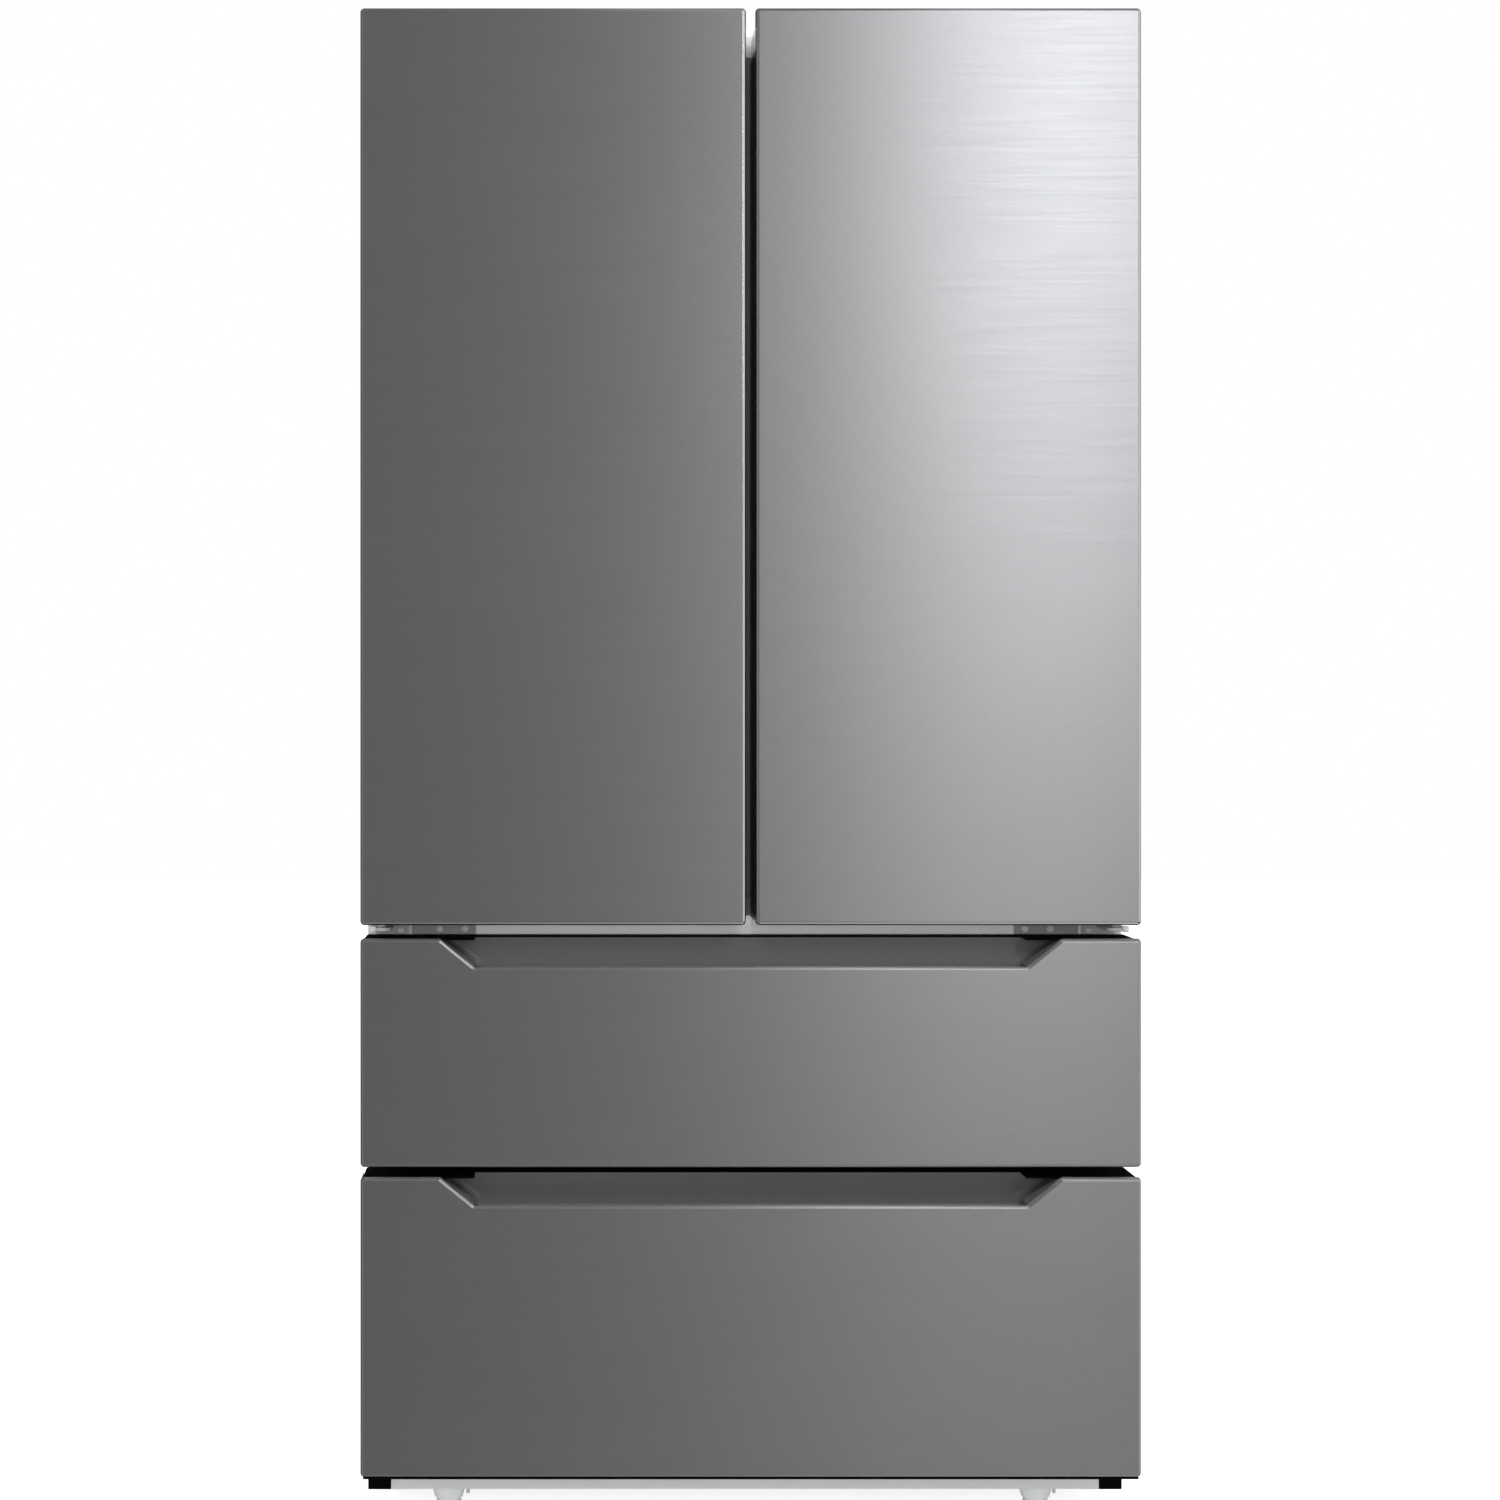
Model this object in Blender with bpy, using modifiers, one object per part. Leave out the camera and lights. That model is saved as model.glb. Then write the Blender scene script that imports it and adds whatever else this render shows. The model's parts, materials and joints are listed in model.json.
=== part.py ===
"""French door refrigerator: two hinged upper doors with a folding mullion, and two freezer drawers.

The frame: metres, +Z up, the front faces -Y, and the origin is on the floor under the middle of the object.
Each object is one separate piece. A piece that moves hangs from an empty that stands on its joint's axis.
"""

import math

import bmesh
import bpy
from mathutils import Matrix, Vector

# Driving dimensions, in metres.
WIDTH = 0.905  # across the two doors
HEIGHT = 1.775  # floor to the doors' top edge
DEPTH = 0.745  # door face to rear panel
TOUCH = 0.0003  # gap left between pieces that touch

DOOR_FACE = -DEPTH / 2
BACK = DEPTH / 2
SLAB = 0.078  # thickness of a door or drawer front, without its gasket
SEAL = 0.090  # door face to the cabinet's front face
CABINET_FACE = DOOR_FACE + SEAL

HALF_DOORS = WIDTH / 2
HALF_CABINET = 0.449
CABINET_TOP = 1.764
CABINET_BOTTOM = 0.032
SHEET = 0.0012  # painted steel
SKIN = 0.0010  # stainless steel
WALL = 0.0025  # moulded liner

DOOR_BOTTOM = 0.712
DOOR_GAP = 0.011  # between the two doors
DOOR_REST_TOP = 1.757  # top of a door behind its front lip, where the hinge arm passes
LIP = 0.010  # depth of the folded edge along the top and bottom of each front
SKIN_RETURN = 0.070  # depth of the folded sides

UPPER_DRAWER = (0.4314, 0.6964)  # bottom and top of the drawer front
LOWER_DRAWER = (0.0720, 0.4199)

OPENING_HALF = 0.400
FRIDGE_Z = (0.7355, 1.7417)  # outside of the fridge liner
FRIDGE_BACK = 0.315
FREEZER_Z = (0.0985, 0.670)
FREEZER_BACK = 0.318
FREEZER_STEP = (0.112, 0.298)  # where the freezer liner steps over the machine room
MACHINE_ROOM = (0.148, 0.262)  # its front wall's y and its ceiling's z
RAIL_BACK = -0.260

HINGE_INSET = (0.022, 0.035)  # axis from the door's outer side and from its face
HINGE_PIN_R = 0.005
GASKET_WIDTH = 0.016
GASKET_BACK = SEAL - TOUCH

MULLION_PIVOT = Vector((-0.022, CABINET_FACE + 0.0065))
MULLION_Z = (0.7560, 1.7185)
MULLION_PIN = Vector((0.034, 0.004))  # guide pin from the pivot

SHELF_THICK = 0.012
SHELF_Y = (-0.150, 0.284)
UPPER_SHELF_Z = 1.395
LOWER_SHELF_Z = 1.165
CRISPER_COVER_Z = 0.9385
CRISPER_Z = (0.7383, 0.9350)
CRISPER_Y = (-0.150, 0.230)

BIN_LEVELS = {"bottom": 0.955, "middle": 1.205, "top": 1.465}
BIN_HEIGHT = 0.110
BIN_REACH = 0.195  # door face to the far side of a bin

FOOT_X = 0.354
FOOT_Y = -0.2415
ROLLER_Y = 0.320
ROLLER_R = 0.015

PARTS = "french_door_refrigerator"
CUTTERS = "cutters"


# ---------------------------------------------------------------- scene and materials

def clear_scene():
    for old in list(bpy.data.objects):
        bpy.data.objects.remove(old)


def collection(name):
    found = bpy.data.collections.get(name)
    if found is None:
        found = bpy.data.collections.new(name)
        bpy.context.scene.collection.children.link(found)
    return found


def material(name, colour, roughness, metallic=0.0, alpha=1.0):
    """A Principled BSDF material in one colour."""
    made = bpy.data.materials.new(name)
    made.use_nodes = True
    shader = made.node_tree.nodes["Principled BSDF"]
    shader.inputs["Base Color"].default_value = (*colour, 1.0)
    shader.inputs["Roughness"].default_value = roughness
    shader.inputs["Metallic"].default_value = metallic
    shader.inputs["Alpha"].default_value = alpha
    made.diffuse_color = (*colour, alpha)
    return made


def make_materials():
    return {
        "stainless": material("stainless", (0.42, 0.43, 0.44), 0.34, 1.0),
        "painted": material("painted", (0.56, 0.57, 0.58), 0.45),
        "pale_rail": material("pale_rail", (0.62, 0.63, 0.64), 0.40),
        "dark_plastic": material("dark_plastic", (0.045, 0.045, 0.048), 0.50),
        "grip_plastic": material("grip_plastic", (0.10, 0.10, 0.105), 0.45),
        "white_plastic": material("white_plastic", (0.86, 0.87, 0.88), 0.35),
        "clear_plastic": material("clear_plastic", (0.85, 0.90, 0.93), 0.10, 0.0, 0.4),
        "gasket_rubber": material("gasket_rubber", (0.16, 0.16, 0.165), 0.75),
        "zinc_steel": material("zinc_steel", (0.55, 0.56, 0.57), 0.38, 1.0),
        "black_steel": material("black_steel", (0.02, 0.02, 0.02), 0.42),
        "aluminium": material("aluminium", (0.78, 0.79, 0.80), 0.30, 1.0),
        "foam": material("foam", (0.80, 0.72, 0.50), 0.90),
        "lamp": material("lamp", (0.93, 0.95, 0.96), 0.25),
        "foot_plastic": material("foot_plastic", (0.52, 0.53, 0.54), 0.55),
    }


# ---------------------------------------------------------------- shapes

# Where an outline's own two axes and its extrusion point, for each extrusion axis.
OUTLINE_FRAMES = {
    "X": Matrix(((0, 0, 1), (1, 0, 0), (0, 1, 0))),
    "Y": Matrix(((1, 0, 0), (0, 0, -1), (0, 1, 0))),
    "Z": Matrix.Identity(3),
}


def place(name, mesh, location, paint=None, rotation=None):
    """An object for this mesh: a piece if it has a material, or a cutter."""
    made = bpy.data.objects.new(name, mesh)
    made.location = location
    if rotation is not None:
        made.rotation_euler = rotation.to_euler()
    if paint is None:
        collection(CUTTERS).objects.link(made)
        made.hide_render = True
        made.display_type = "WIRE"
    else:
        mesh.materials.append(paint)
        collection(PARTS).objects.link(made)
    return made


def block(name, x, y, z, paint=None, bevel=0.0, segments=2):
    """A box between these (low, high) pairs."""
    low, high = Vector((x[0], y[0], z[0])), Vector((x[1], y[1], z[1]))
    mesh = bpy.data.meshes.new(name)
    shape = bmesh.new()
    bmesh.ops.create_cube(shape, size=1.0)
    bmesh.ops.scale(shape, vec=high - low, verts=shape.verts)
    shape.to_mesh(mesh)
    shape.free()
    made = place(name, mesh, (low + high) / 2, paint)
    if bevel:
        add_bevel(made, bevel, segments)
    return made


def rod(name, centre, radius, length, axis="Z", paint=None, sides=16, end_radius=None):
    """A cylinder, or a cone where end_radius differs, about its centre."""
    mesh = bpy.data.meshes.new(name)
    shape = bmesh.new()
    bmesh.ops.create_cone(
        shape,
        cap_ends=True,
        segments=sides,
        radius1=radius,
        radius2=radius if end_radius is None else end_radius,
        depth=length,
    )
    shape.to_mesh(mesh)
    shape.free()
    mesh.shade_smooth()
    mesh.set_sharp_from_angle(angle=math.radians(35))
    turns = {"X": Matrix.Rotation(math.pi / 2, 3, "Y"), "Y": Matrix.Rotation(math.pi / 2, 3, "X"), "Z": None}
    return place(name, mesh, centre, paint, turns[axis])


def from_curve(curve_object, paint):
    """The curve's solid as a mesh object with welded caps, so that it can be cut and joined."""
    bpy.context.scene.collection.objects.link(curve_object)
    bpy.context.view_layer.update()
    graph = bpy.context.evaluated_depsgraph_get()
    mesh = bpy.data.meshes.new_from_object(curve_object.evaluated_get(graph))
    shape = bmesh.new()
    shape.from_mesh(mesh)
    bmesh.ops.remove_doubles(shape, verts=shape.verts, dist=1e-5)
    bmesh.ops.recalc_face_normals(shape, faces=shape.faces)
    shape.to_mesh(mesh)
    shape.free()
    mesh.materials.clear()
    name, world = curve_object.name, curve_object.matrix_world.copy()
    bpy.data.objects.remove(curve_object)
    made = place(name, mesh, (0, 0, 0), paint)
    made.matrix_world = world
    return made


def prism(name, outline, axis, span, paint=None):
    """A flat outline extruded along an axis. Its points are (y, z), (x, z) or (x, y) for axis X, Y or Z."""
    curve = bpy.data.curves.new(name, "CURVE")
    curve.dimensions = "2D"
    curve.fill_mode = "BOTH"
    curve.extrude = (span[1] - span[0]) / 2
    line = curve.splines.new("POLY")
    line.points.add(len(outline) - 1)
    for point, (u, v) in zip(line.points, outline):
        point.co = (u, v, 0.0, 1.0)
    line.use_cyclic_u = True
    made = bpy.data.objects.new(name, curve)
    middle = Vector((0.0, 0.0, 0.0))
    middle["XYZ".index(axis)] = (span[0] + span[1]) / 2
    made.matrix_world = Matrix.Translation(middle) @ OUTLINE_FRAMES[axis].to_4x4()
    return from_curve(made, paint)


def tube(name, points, radius, paint):
    """A round bar along these points."""
    curve = bpy.data.curves.new(name, "CURVE")
    curve.dimensions = "3D"
    curve.bevel_depth = radius
    curve.bevel_resolution = 1
    curve.use_fill_caps = True
    line = curve.splines.new("POLY")
    line.points.add(len(points) - 1)
    for point, where in zip(line.points, points):
        point.co = (*where, 1.0)
    return from_curve(bpy.data.objects.new(name, curve), paint)


def turned(name, profile, centre, paint, steps=24):
    """A solid of revolution about Z. The profile holds (radius, height) from top to bottom and starts and ends on the axis."""
    mesh = bpy.data.meshes.new(name)
    shape = bmesh.new()
    points = [shape.verts.new((radius, 0.0, height)) for radius, height in profile]
    for first, second in zip(points, points[1:]):
        shape.edges.new((first, second))
    shape.to_mesh(mesh)
    shape.free()
    made = place(name, mesh, centre, paint)
    screw = made.modifiers.new("turn", "SCREW")
    screw.steps = screw.render_steps = steps
    screw.use_merge_vertices = True
    screw.merge_threshold = 1e-5
    screw.use_smooth_shade = True
    return made


def add_bevel(piece, width, segments=2):
    edge = piece.modifiers.new("rounded_edges", "BEVEL")
    edge.width = width
    edge.segments = segments
    edge.limit_method = "ANGLE"
    edge.angle_limit = math.radians(40)
    return piece


def combine(piece, others, operation):
    for other in others:
        step = piece.modifiers.new(operation.lower() + "_" + other.name, "BOOLEAN")
        step.operation = operation
        step.solver = "EXACT"
        step.object = other
    return piece


def cut(piece, *cutters):
    return combine(piece, cutters, "DIFFERENCE")


def join(piece, *helpers):
    return combine(piece, helpers, "UNION")


def helper(name):
    return "cut_" + name


def tray(name, x, y, z, wall, paint, bevel=0.0):
    """An open-topped box, such as a bin or a basket."""
    made = block(name, x, y, z, paint)
    inside = block(
        helper(name),
        (x[0] + wall, x[1] - wall),
        (y[0] + wall, y[1] - wall),
        (z[0] + wall, z[1] + wall),
    )
    cut(made, inside)
    if bevel:
        add_bevel(inside, bevel)
    return made


def hang_from(name, location, *pieces):
    """An empty on a joint's axis that carries these pieces."""
    axis = bpy.data.objects.new(name + "_axis", None)
    axis.empty_display_size = 0.05
    axis.location = location
    collection(PARTS).objects.link(axis)
    for piece in pieces:
        piece.parent = axis
        piece.matrix_parent_inverse = Matrix.Translation(-Vector(location))
    return axis


def sides():
    """Left and right, with the sign of their x."""
    return (("left", -1), ("right", 1))


def mirrored(sign, low, high):
    """The (low, high) pair on the side with this sign, from distances to the middle."""
    return (low, high) if sign > 0 else (-high, -low)


# ---------------------------------------------------------------- cabinet

def make_cabinet(paint):
    """The outer steel shell, rear panel, base, foam and the two liners."""
    shell = block(
        "cabinet_shell",
        (-HALF_CABINET, HALF_CABINET),
        (CABINET_FACE, BACK - 0.0018),
        (CABINET_BOTTOM, CABINET_TOP),
        paint["painted"],
    )
    inner = HALF_CABINET - SHEET
    cut(
        shell,
        block(helper("shell_inside"), (-inner, inner), (CABINET_FACE + SHEET, 1), (-1, CABINET_TOP - SHEET)),
        block(helper("shell_mouth"), (-OPENING_HALF, OPENING_HALF), (-1, 1), (-1, FRIDGE_Z[1] + TOUCH)),
    )

    block(
        "rear_panel",
        (-HALF_CABINET, HALF_CABINET),
        (BACK - 0.0015, BACK),
        (MACHINE_ROOM[1], CABINET_TOP),
        paint["painted"],
    )
    make_base_frame(paint)
    make_foam(paint)
    make_liners(paint)


def base_outline(grow=0.0):
    """Side view of the bent base sheet: a floor, the machine room's front wall and its ceiling."""
    sheet = 0.002
    wall_y, ceiling = MACHINE_ROOM
    front, rear = RAIL_BACK + TOUCH, BACK - 0.0040
    floor = CABINET_BOTTOM
    return [
        (front, floor),
        (rear, floor),
        (rear, floor + sheet),
        (wall_y + sheet + grow, floor + sheet),
        (wall_y + sheet + grow, ceiling - sheet - grow),
        (rear, ceiling - sheet - grow),
        (rear, ceiling),
        (wall_y, ceiling),
        (wall_y, floor + sheet),
        (front, floor + sheet),
    ]


def make_base_frame(paint):
    """The bent base sheet with its rear roller brackets and the fan's post."""
    half = HALF_CABINET - SHEET - 0.0004
    frame = prism("base_frame", base_outline(), "X", (-half, half), paint["zinc_steel"])
    foot_holes = []
    brackets = []
    axle_holes = []
    for side, sign in sides():
        foot_holes.append(rod(helper("foot_hole_" + side), (sign * FOOT_X, FOOT_Y, 0.033), 0.0065, 0.02))
        for place_name, x in (("inner", 0.339), ("outer", 0.369)):
            name = helper(f"roller_bracket_{side}_{place_name}")
            brackets.append(
                block(name, (sign * x - 0.00125, sign * x + 0.00125), (ROLLER_Y - 0.016, ROLLER_Y + 0.016), (0.008, 0.033))
            )
    axle_holes.append(rod(helper("axle_holes"), (0, ROLLER_Y, ROLLER_R), 0.0034, 0.80, "X"))
    fan_post = block(helper("fan_post"), (0.048, 0.066), (0.252, 0.272), (0.0335, 0.158))
    fan_motor = rod(helper("fan_motor"), (0.0595, 0.262, 0.147), 0.018, 0.029, "X")
    join(frame, fan_post, fan_motor, *brackets)
    cut(frame, *foot_holes, *axle_holes)


def make_foam(paint):
    """The foam between the shell and the liners."""
    half = HALF_CABINET - SHEET - TOUCH
    wall_y, ceiling = MACHINE_ROOM
    foam = block(
        "insulation_foam",
        (-half, half),
        (CABINET_FACE + SHEET + TOUCH, BACK - 0.0018),
        (CABINET_BOTTOM + 0.0023, CABINET_TOP - SHEET - TOUCH),
        paint["foam"],
    )
    mouth = (-OPENING_HALF, OPENING_HALF)
    step_y, step_z = FREEZER_STEP
    cutters = [
        block(helper("foam_fridge"), mouth, (-1, FRIDGE_BACK + TOUCH), (FRIDGE_Z[0] - TOUCH, FRIDGE_Z[1] + TOUCH)),
        block(helper("foam_freezer"), mouth, (-1, FREEZER_BACK + TOUCH), (step_z - TOUCH, FREEZER_Z[1] + TOUCH)),
        block(helper("foam_freezer_low"), mouth, (-1, step_y + TOUCH), (FREEZER_Z[0] - TOUCH, 0.4)),
        block(helper("foam_cross_rail"), mouth, (-1, RAIL_BACK + TOUCH), (0.65, 0.75)),
        block(helper("foam_bottom_rail"), (-1, 1), (-1, RAIL_BACK + TOUCH), (0, FREEZER_Z[0] + 0.01)),
        block(helper("foam_machine_room"), (-1, 1), (wall_y - TOUCH, 1), (-1, ceiling + TOUCH)),
    ]
    for side, sign in sides():
        cutters.append(rod(helper("foam_foot_" + side), (sign * FOOT_X, FOOT_Y, 0.040), 0.0075, 0.04))
    cut(foam, *cutters)


def make_liners(paint):
    """The white liners of the fridge and of the freezer, each open at the front."""
    outer = OPENING_HALF - TOUCH
    inner = outer - WALL
    fridge = block("fridge_liner", (-outer, outer), (CABINET_FACE, FRIDGE_BACK), FRIDGE_Z, paint["white_plastic"])
    cut(
        fridge,
        block(
            helper("fridge_inside"),
            (-inner, inner),
            (-1, FRIDGE_BACK - WALL),
            (FRIDGE_Z[0] + WALL, FRIDGE_Z[1] - WALL),
        ),
    )
    ledges = []
    for level, height in (("upper", UPPER_SHELF_Z), ("lower", LOWER_SHELF_Z), ("crisper", CRISPER_COVER_Z)):
        for side, sign in sides():
            name = helper(f"ledge_{level}_{side}")
            ledges.append(
                block(name, mirrored(sign, 0.3885, inner + 0.001), (-0.140, 0.280), (height - 0.0075, height - TOUCH))
            )
    join(fridge, *ledges)

    step_y, step_z = FREEZER_STEP

    def freezer_outline(inset, front):
        return [
            (front, FREEZER_Z[0] + inset),
            (step_y - inset, FREEZER_Z[0] + inset),
            (step_y - inset, step_z + inset),
            (FREEZER_BACK - inset, step_z + inset),
            (FREEZER_BACK - inset, FREEZER_Z[1] - inset),
            (front, FREEZER_Z[1] - inset),
        ]

    freezer = prism(
        "freezer_liner", freezer_outline(0.0, CABINET_FACE), "X", (-outer, outer), paint["white_plastic"]
    )
    cut(freezer, prism(helper("freezer_inside"), freezer_outline(WALL, -0.5), "X", (-inner, inner)))


def make_rails(paint):
    """The cross members of the cabinet's front, which the gaskets close on."""
    half = OPENING_HALF - TOUCH
    cross = block(
        "cross_rail",
        (-half, half),
        (CABINET_FACE, RAIL_BACK),
        (FREEZER_Z[1] + TOUCH, FRIDGE_Z[0] - TOUCH),
        paint["pale_rail"],
    )
    join(cross, block(helper("centre_pad"), (-0.009, 0.009), (CABINET_FACE - 0.003, CABINET_FACE + 0.002), (0.7165, 0.7350)))

    block(
        "drawer_divider_rail",
        (-(half - WALL - TOUCH), half - WALL - TOUCH),
        (CABINET_FACE, CABINET_FACE + 0.040),
        (0.3955, 0.4558),
        paint["dark_plastic"],
    )

    kick_top = 0.071
    kick_face = CABINET_FACE - 0.003
    bottom = prism(
        "bottom_rail",
        [
            (kick_face, CABINET_BOTTOM),
            (RAIL_BACK, CABINET_BOTTOM),
            (RAIL_BACK, FREEZER_Z[0] - TOUCH),
            (CABINET_FACE, FREEZER_Z[0] - TOUCH),
            (CABINET_FACE, kick_top),
            (kick_face, kick_top),
        ],
        "X",
        (-half, half),
        paint["pale_rail"],
    )
    ends = [
        block(
            helper("kick_end_" + side),
            mirrored(sign, half - 0.001, HALF_CABINET),
            (kick_face, CABINET_FACE - TOUCH),
            (CABINET_BOTTOM, kick_top),
        )
        for side, sign in sides()
    ]
    join(bottom, *ends)


# ---------------------------------------------------------------- cooling

def comb_outline(origin, tooth, gap, count, spine, length):
    """A row of fins on a spine, as one outline."""
    x, z = origin
    pitch = tooth + gap
    points = [(x, z)]
    for i in range(count):
        left = x + i * pitch
        points += [(left, z + length), (left + tooth, z + length)]
        if i < count - 1:
            points += [(left + tooth, z + spine), (left + pitch, z + spine)]
    points.append((x + (count - 1) * pitch + tooth, z))
    return points


def serpentine(low, high, rows, layers):
    """A tube's path: rows up and down in z, one layer behind the other in y."""
    points = []
    for layer in range(layers):
        y = low[1] + (high[1] - low[1]) * layer / (layers - 1)
        ordered = range(rows) if layer % 2 == 0 else range(rows - 1, -1, -1)
        for count, row in enumerate(ordered):
            z = low[2] + (high[2] - low[2]) * row / (rows - 1)
            ends = (low[0], high[0]) if count % 2 == 0 else (high[0], low[0])
            points += [(ends[0], y, z), (ends[1], y, z)]
    return points


def fan_outline(hub, tip, blades):
    """A hub with curved blades, seen along its axis. Each blade is swept back by a part of its pitch."""
    points = []
    pitch = 2 * math.pi / blades
    for i in range(blades):
        start = i * pitch
        for radius, turn in ((hub, 0.0), (tip, 0.16), (tip, 0.62), (hub, 0.52), (hub, 0.76)):
            angle = start + turn * pitch
            points.append((radius * math.cos(angle), radius * math.sin(angle)))
    return points


def make_cooling(paint):
    """Compressor, condenser and evaporator with their fans, and the covers over them."""
    compressor = turned(
        "compressor",
        [
            (0.0, 0.190),
            (0.030, 0.188),
            (0.055, 0.176),
            (0.070, 0.155),
            (0.076, 0.125),
            (0.080, 0.105),
            (0.080, 0.095),
            (0.076, 0.085),
            (0.074, 0.050),
            (0.060, 0.028),
            (0.035, 0.016),
            (0.0, 0.014),
        ],
        (-0.255, 0.262, 0.040),
        paint["black_steel"],
    )
    join(compressor, block(helper("compressor_plate"), (-0.345, -0.165), (0.205, 0.319), (0.0360, 0.0600)))

    condenser = tube(
        "condenser",
        serpentine((0.135, 0.190, 0.060), (0.395, 0.335, 0.220), 7, 3),
        0.004,
        paint["black_steel"],
    )
    plates = [
        block(helper(f"condenser_plate_{x:.3f}"), (x, x + 0.002), (0.180, 0.345), (0.0343, 0.230))
        for x in (0.160, 0.368)
    ]
    join(condenser, *plates)
    fan = prism("condenser_fan", fan_outline(0.022, 0.080, 5), "Z", (-0.008, 0.008), paint["dark_plastic"])
    fan.rotation_euler = (0, math.pi / 2, 0)
    fan.location = (0.036, 0.262, 0.147)
    hang_from("condenser_fan", (0.036, 0.262, 0.147), fan)

    evaporator_x = 0.30
    fins = 20
    tooth = 0.003
    gap = (2 * evaporator_x - tooth) / (fins - 1) - tooth
    prism(
        "evaporator",
        [(x, y) for x, y in comb_outline((-evaporator_x, 0.268), tooth, gap, fins, 0.006, 0.047)],
        "Z",
        (0.312, 0.500),
        paint["aluminium"],
    )
    fan = prism("evaporator_fan", fan_outline(0.016, 0.052, 5), "Z", (-0.007, 0.007), paint["white_plastic"])
    fan.rotation_euler = (math.pi / 2, 0, 0)
    fan.location = (0.0, 0.285, 0.590)
    hang_from("evaporator_fan", (0.0, 0.285, 0.590), fan)

    cover = block(
        "evaporator_cover",
        (-0.3960, 0.3960),
        (0.250, 0.253),
        (FREEZER_STEP[1] + WALL + 0.001, FREEZER_Z[1] - WALL - 0.001),
        paint["white_plastic"],
    )
    vents = [rod(helper("fan_mouth"), (0.0, 0.2515, 0.590), 0.050, 0.02, "Y", sides=24)]
    for i in range(4):
        x = -0.24 + 0.16 * i
        vents.append(block(helper(f"return_vent_{i}"), (x - 0.05, x + 0.05), (0.2, 0.3), (0.325, 0.335)))
    cut(cover, *vents)
    join(
        cover,
        block(helper("motor_bar"), (-0.055, 0.055), (0.2495, 0.2535), (0.584, 0.596)),
        rod(helper("motor"), (0.0, 0.2640, 0.590), 0.012, 0.027, "Y"),
    )

    duct = block("air_duct_cover", (-0.105, 0.105), (0.288, 0.3122), (0.985, 1.700), paint["white_plastic"])
    duct_cutters = [block(helper("duct_inside"), (-0.1025, 0.1025), (0.2905, 0.5), (0.9875, 1.6975))]
    for level, z in enumerate((1.06, 1.13, 1.24, 1.33, 1.48, 1.60)):
        for side, sign in sides():
            duct_cutters.append(
                block(helper(f"duct_vent_{level}_{side}"), mirrored(sign, 0.040, 0.090), (0.2, 0.289 + 0.003), (z, z + 0.008))
            )
    cut(duct, *duct_cutters)

    cover = block("machine_room_cover", (-0.440, 0.440), (BACK - 0.0032, BACK), (0.040, 0.2575), paint["dark_plastic"])
    louvres = []
    for column in range(4):
        for row in range(4):
            x, z = -0.33 + 0.22 * column, 0.075 + 0.042 * row
            louvres.append(block(helper(f"louvre_{column}_{row}"), (x - 0.075, x + 0.075), (0.3, 0.5), (z, z + 0.012)))
    cut(cover, *louvres)


# ---------------------------------------------------------------- inside the fridge

def make_fridge_inside(paint):
    """The ceiling console with the mullion's cam, the glass shelves and the crispers."""
    ceiling = FRIDGE_Z[1] - WALL - TOUCH
    console = block("ceiling_console", (-0.160, 0.160), (-0.210, -0.080), (1.715, ceiling), paint["lamp"])
    cam = block(helper("cam"), (-0.004, 0.034), (-0.268, -0.205), (1.722, ceiling))
    pin_path = rod(
        helper("pin_path"), (MULLION_PIVOT.x, MULLION_PIVOT.y, 1.73), MULLION_PIN.length + 0.007, 0.1, sides=40
    )
    cut(join(console, cam), pin_path)

    y = SHELF_Y
    for side, sign in sides():
        block(
            "shelf_upper_" + side,
            mirrored(sign, 0.0025, 0.3950),
            y,
            (UPPER_SHELF_Z, UPPER_SHELF_Z + SHELF_THICK),
            paint["clear_plastic"],
        )
    block("shelf_lower", (-0.3950, 0.3950), y, (LOWER_SHELF_Z, LOWER_SHELF_Z + SHELF_THICK), paint["clear_plastic"])
    block(
        "crisper_cover", (-0.3950, 0.3950), y, (CRISPER_COVER_Z, CRISPER_COVER_Z + SHELF_THICK), paint["clear_plastic"]
    )
    for side, sign in sides():
        name = "crisper_" + side
        crisper = tray(name, mirrored(sign, 0.0030, 0.3860), CRISPER_Y, CRISPER_Z, 0.003, paint["clear_plastic"])
        hang_from(name, (sign * 0.1945, CRISPER_Y[0], CRISPER_Z[0]), crisper)


# ---------------------------------------------------------------- doors

def frame_ring(name, x, z, width, depths, paint, bevel=0.0):
    """A rectangular ring, such as a gasket, between two depths behind the door face."""
    y = (DOOR_FACE + depths[0], DOOR_FACE + depths[1])
    ring = block(name, x, y, z, paint)
    cut(ring, block(helper(name), (x[0] + width, x[1] - width), (-1, 1), (z[0] + width, z[1] - width)))
    if bevel:
        add_bevel(ring, bevel, 1)
    return ring


def arm_outline(x, front, back, half):
    """A flat arm with a round end, seen from above."""
    turns = [math.radians(angle) for angle in range(180, 361, 20)]
    return [(x + half * math.cos(a), front + half * math.sin(a)) for a in turns] + [(x + half, back), (x - half, back)]


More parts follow.
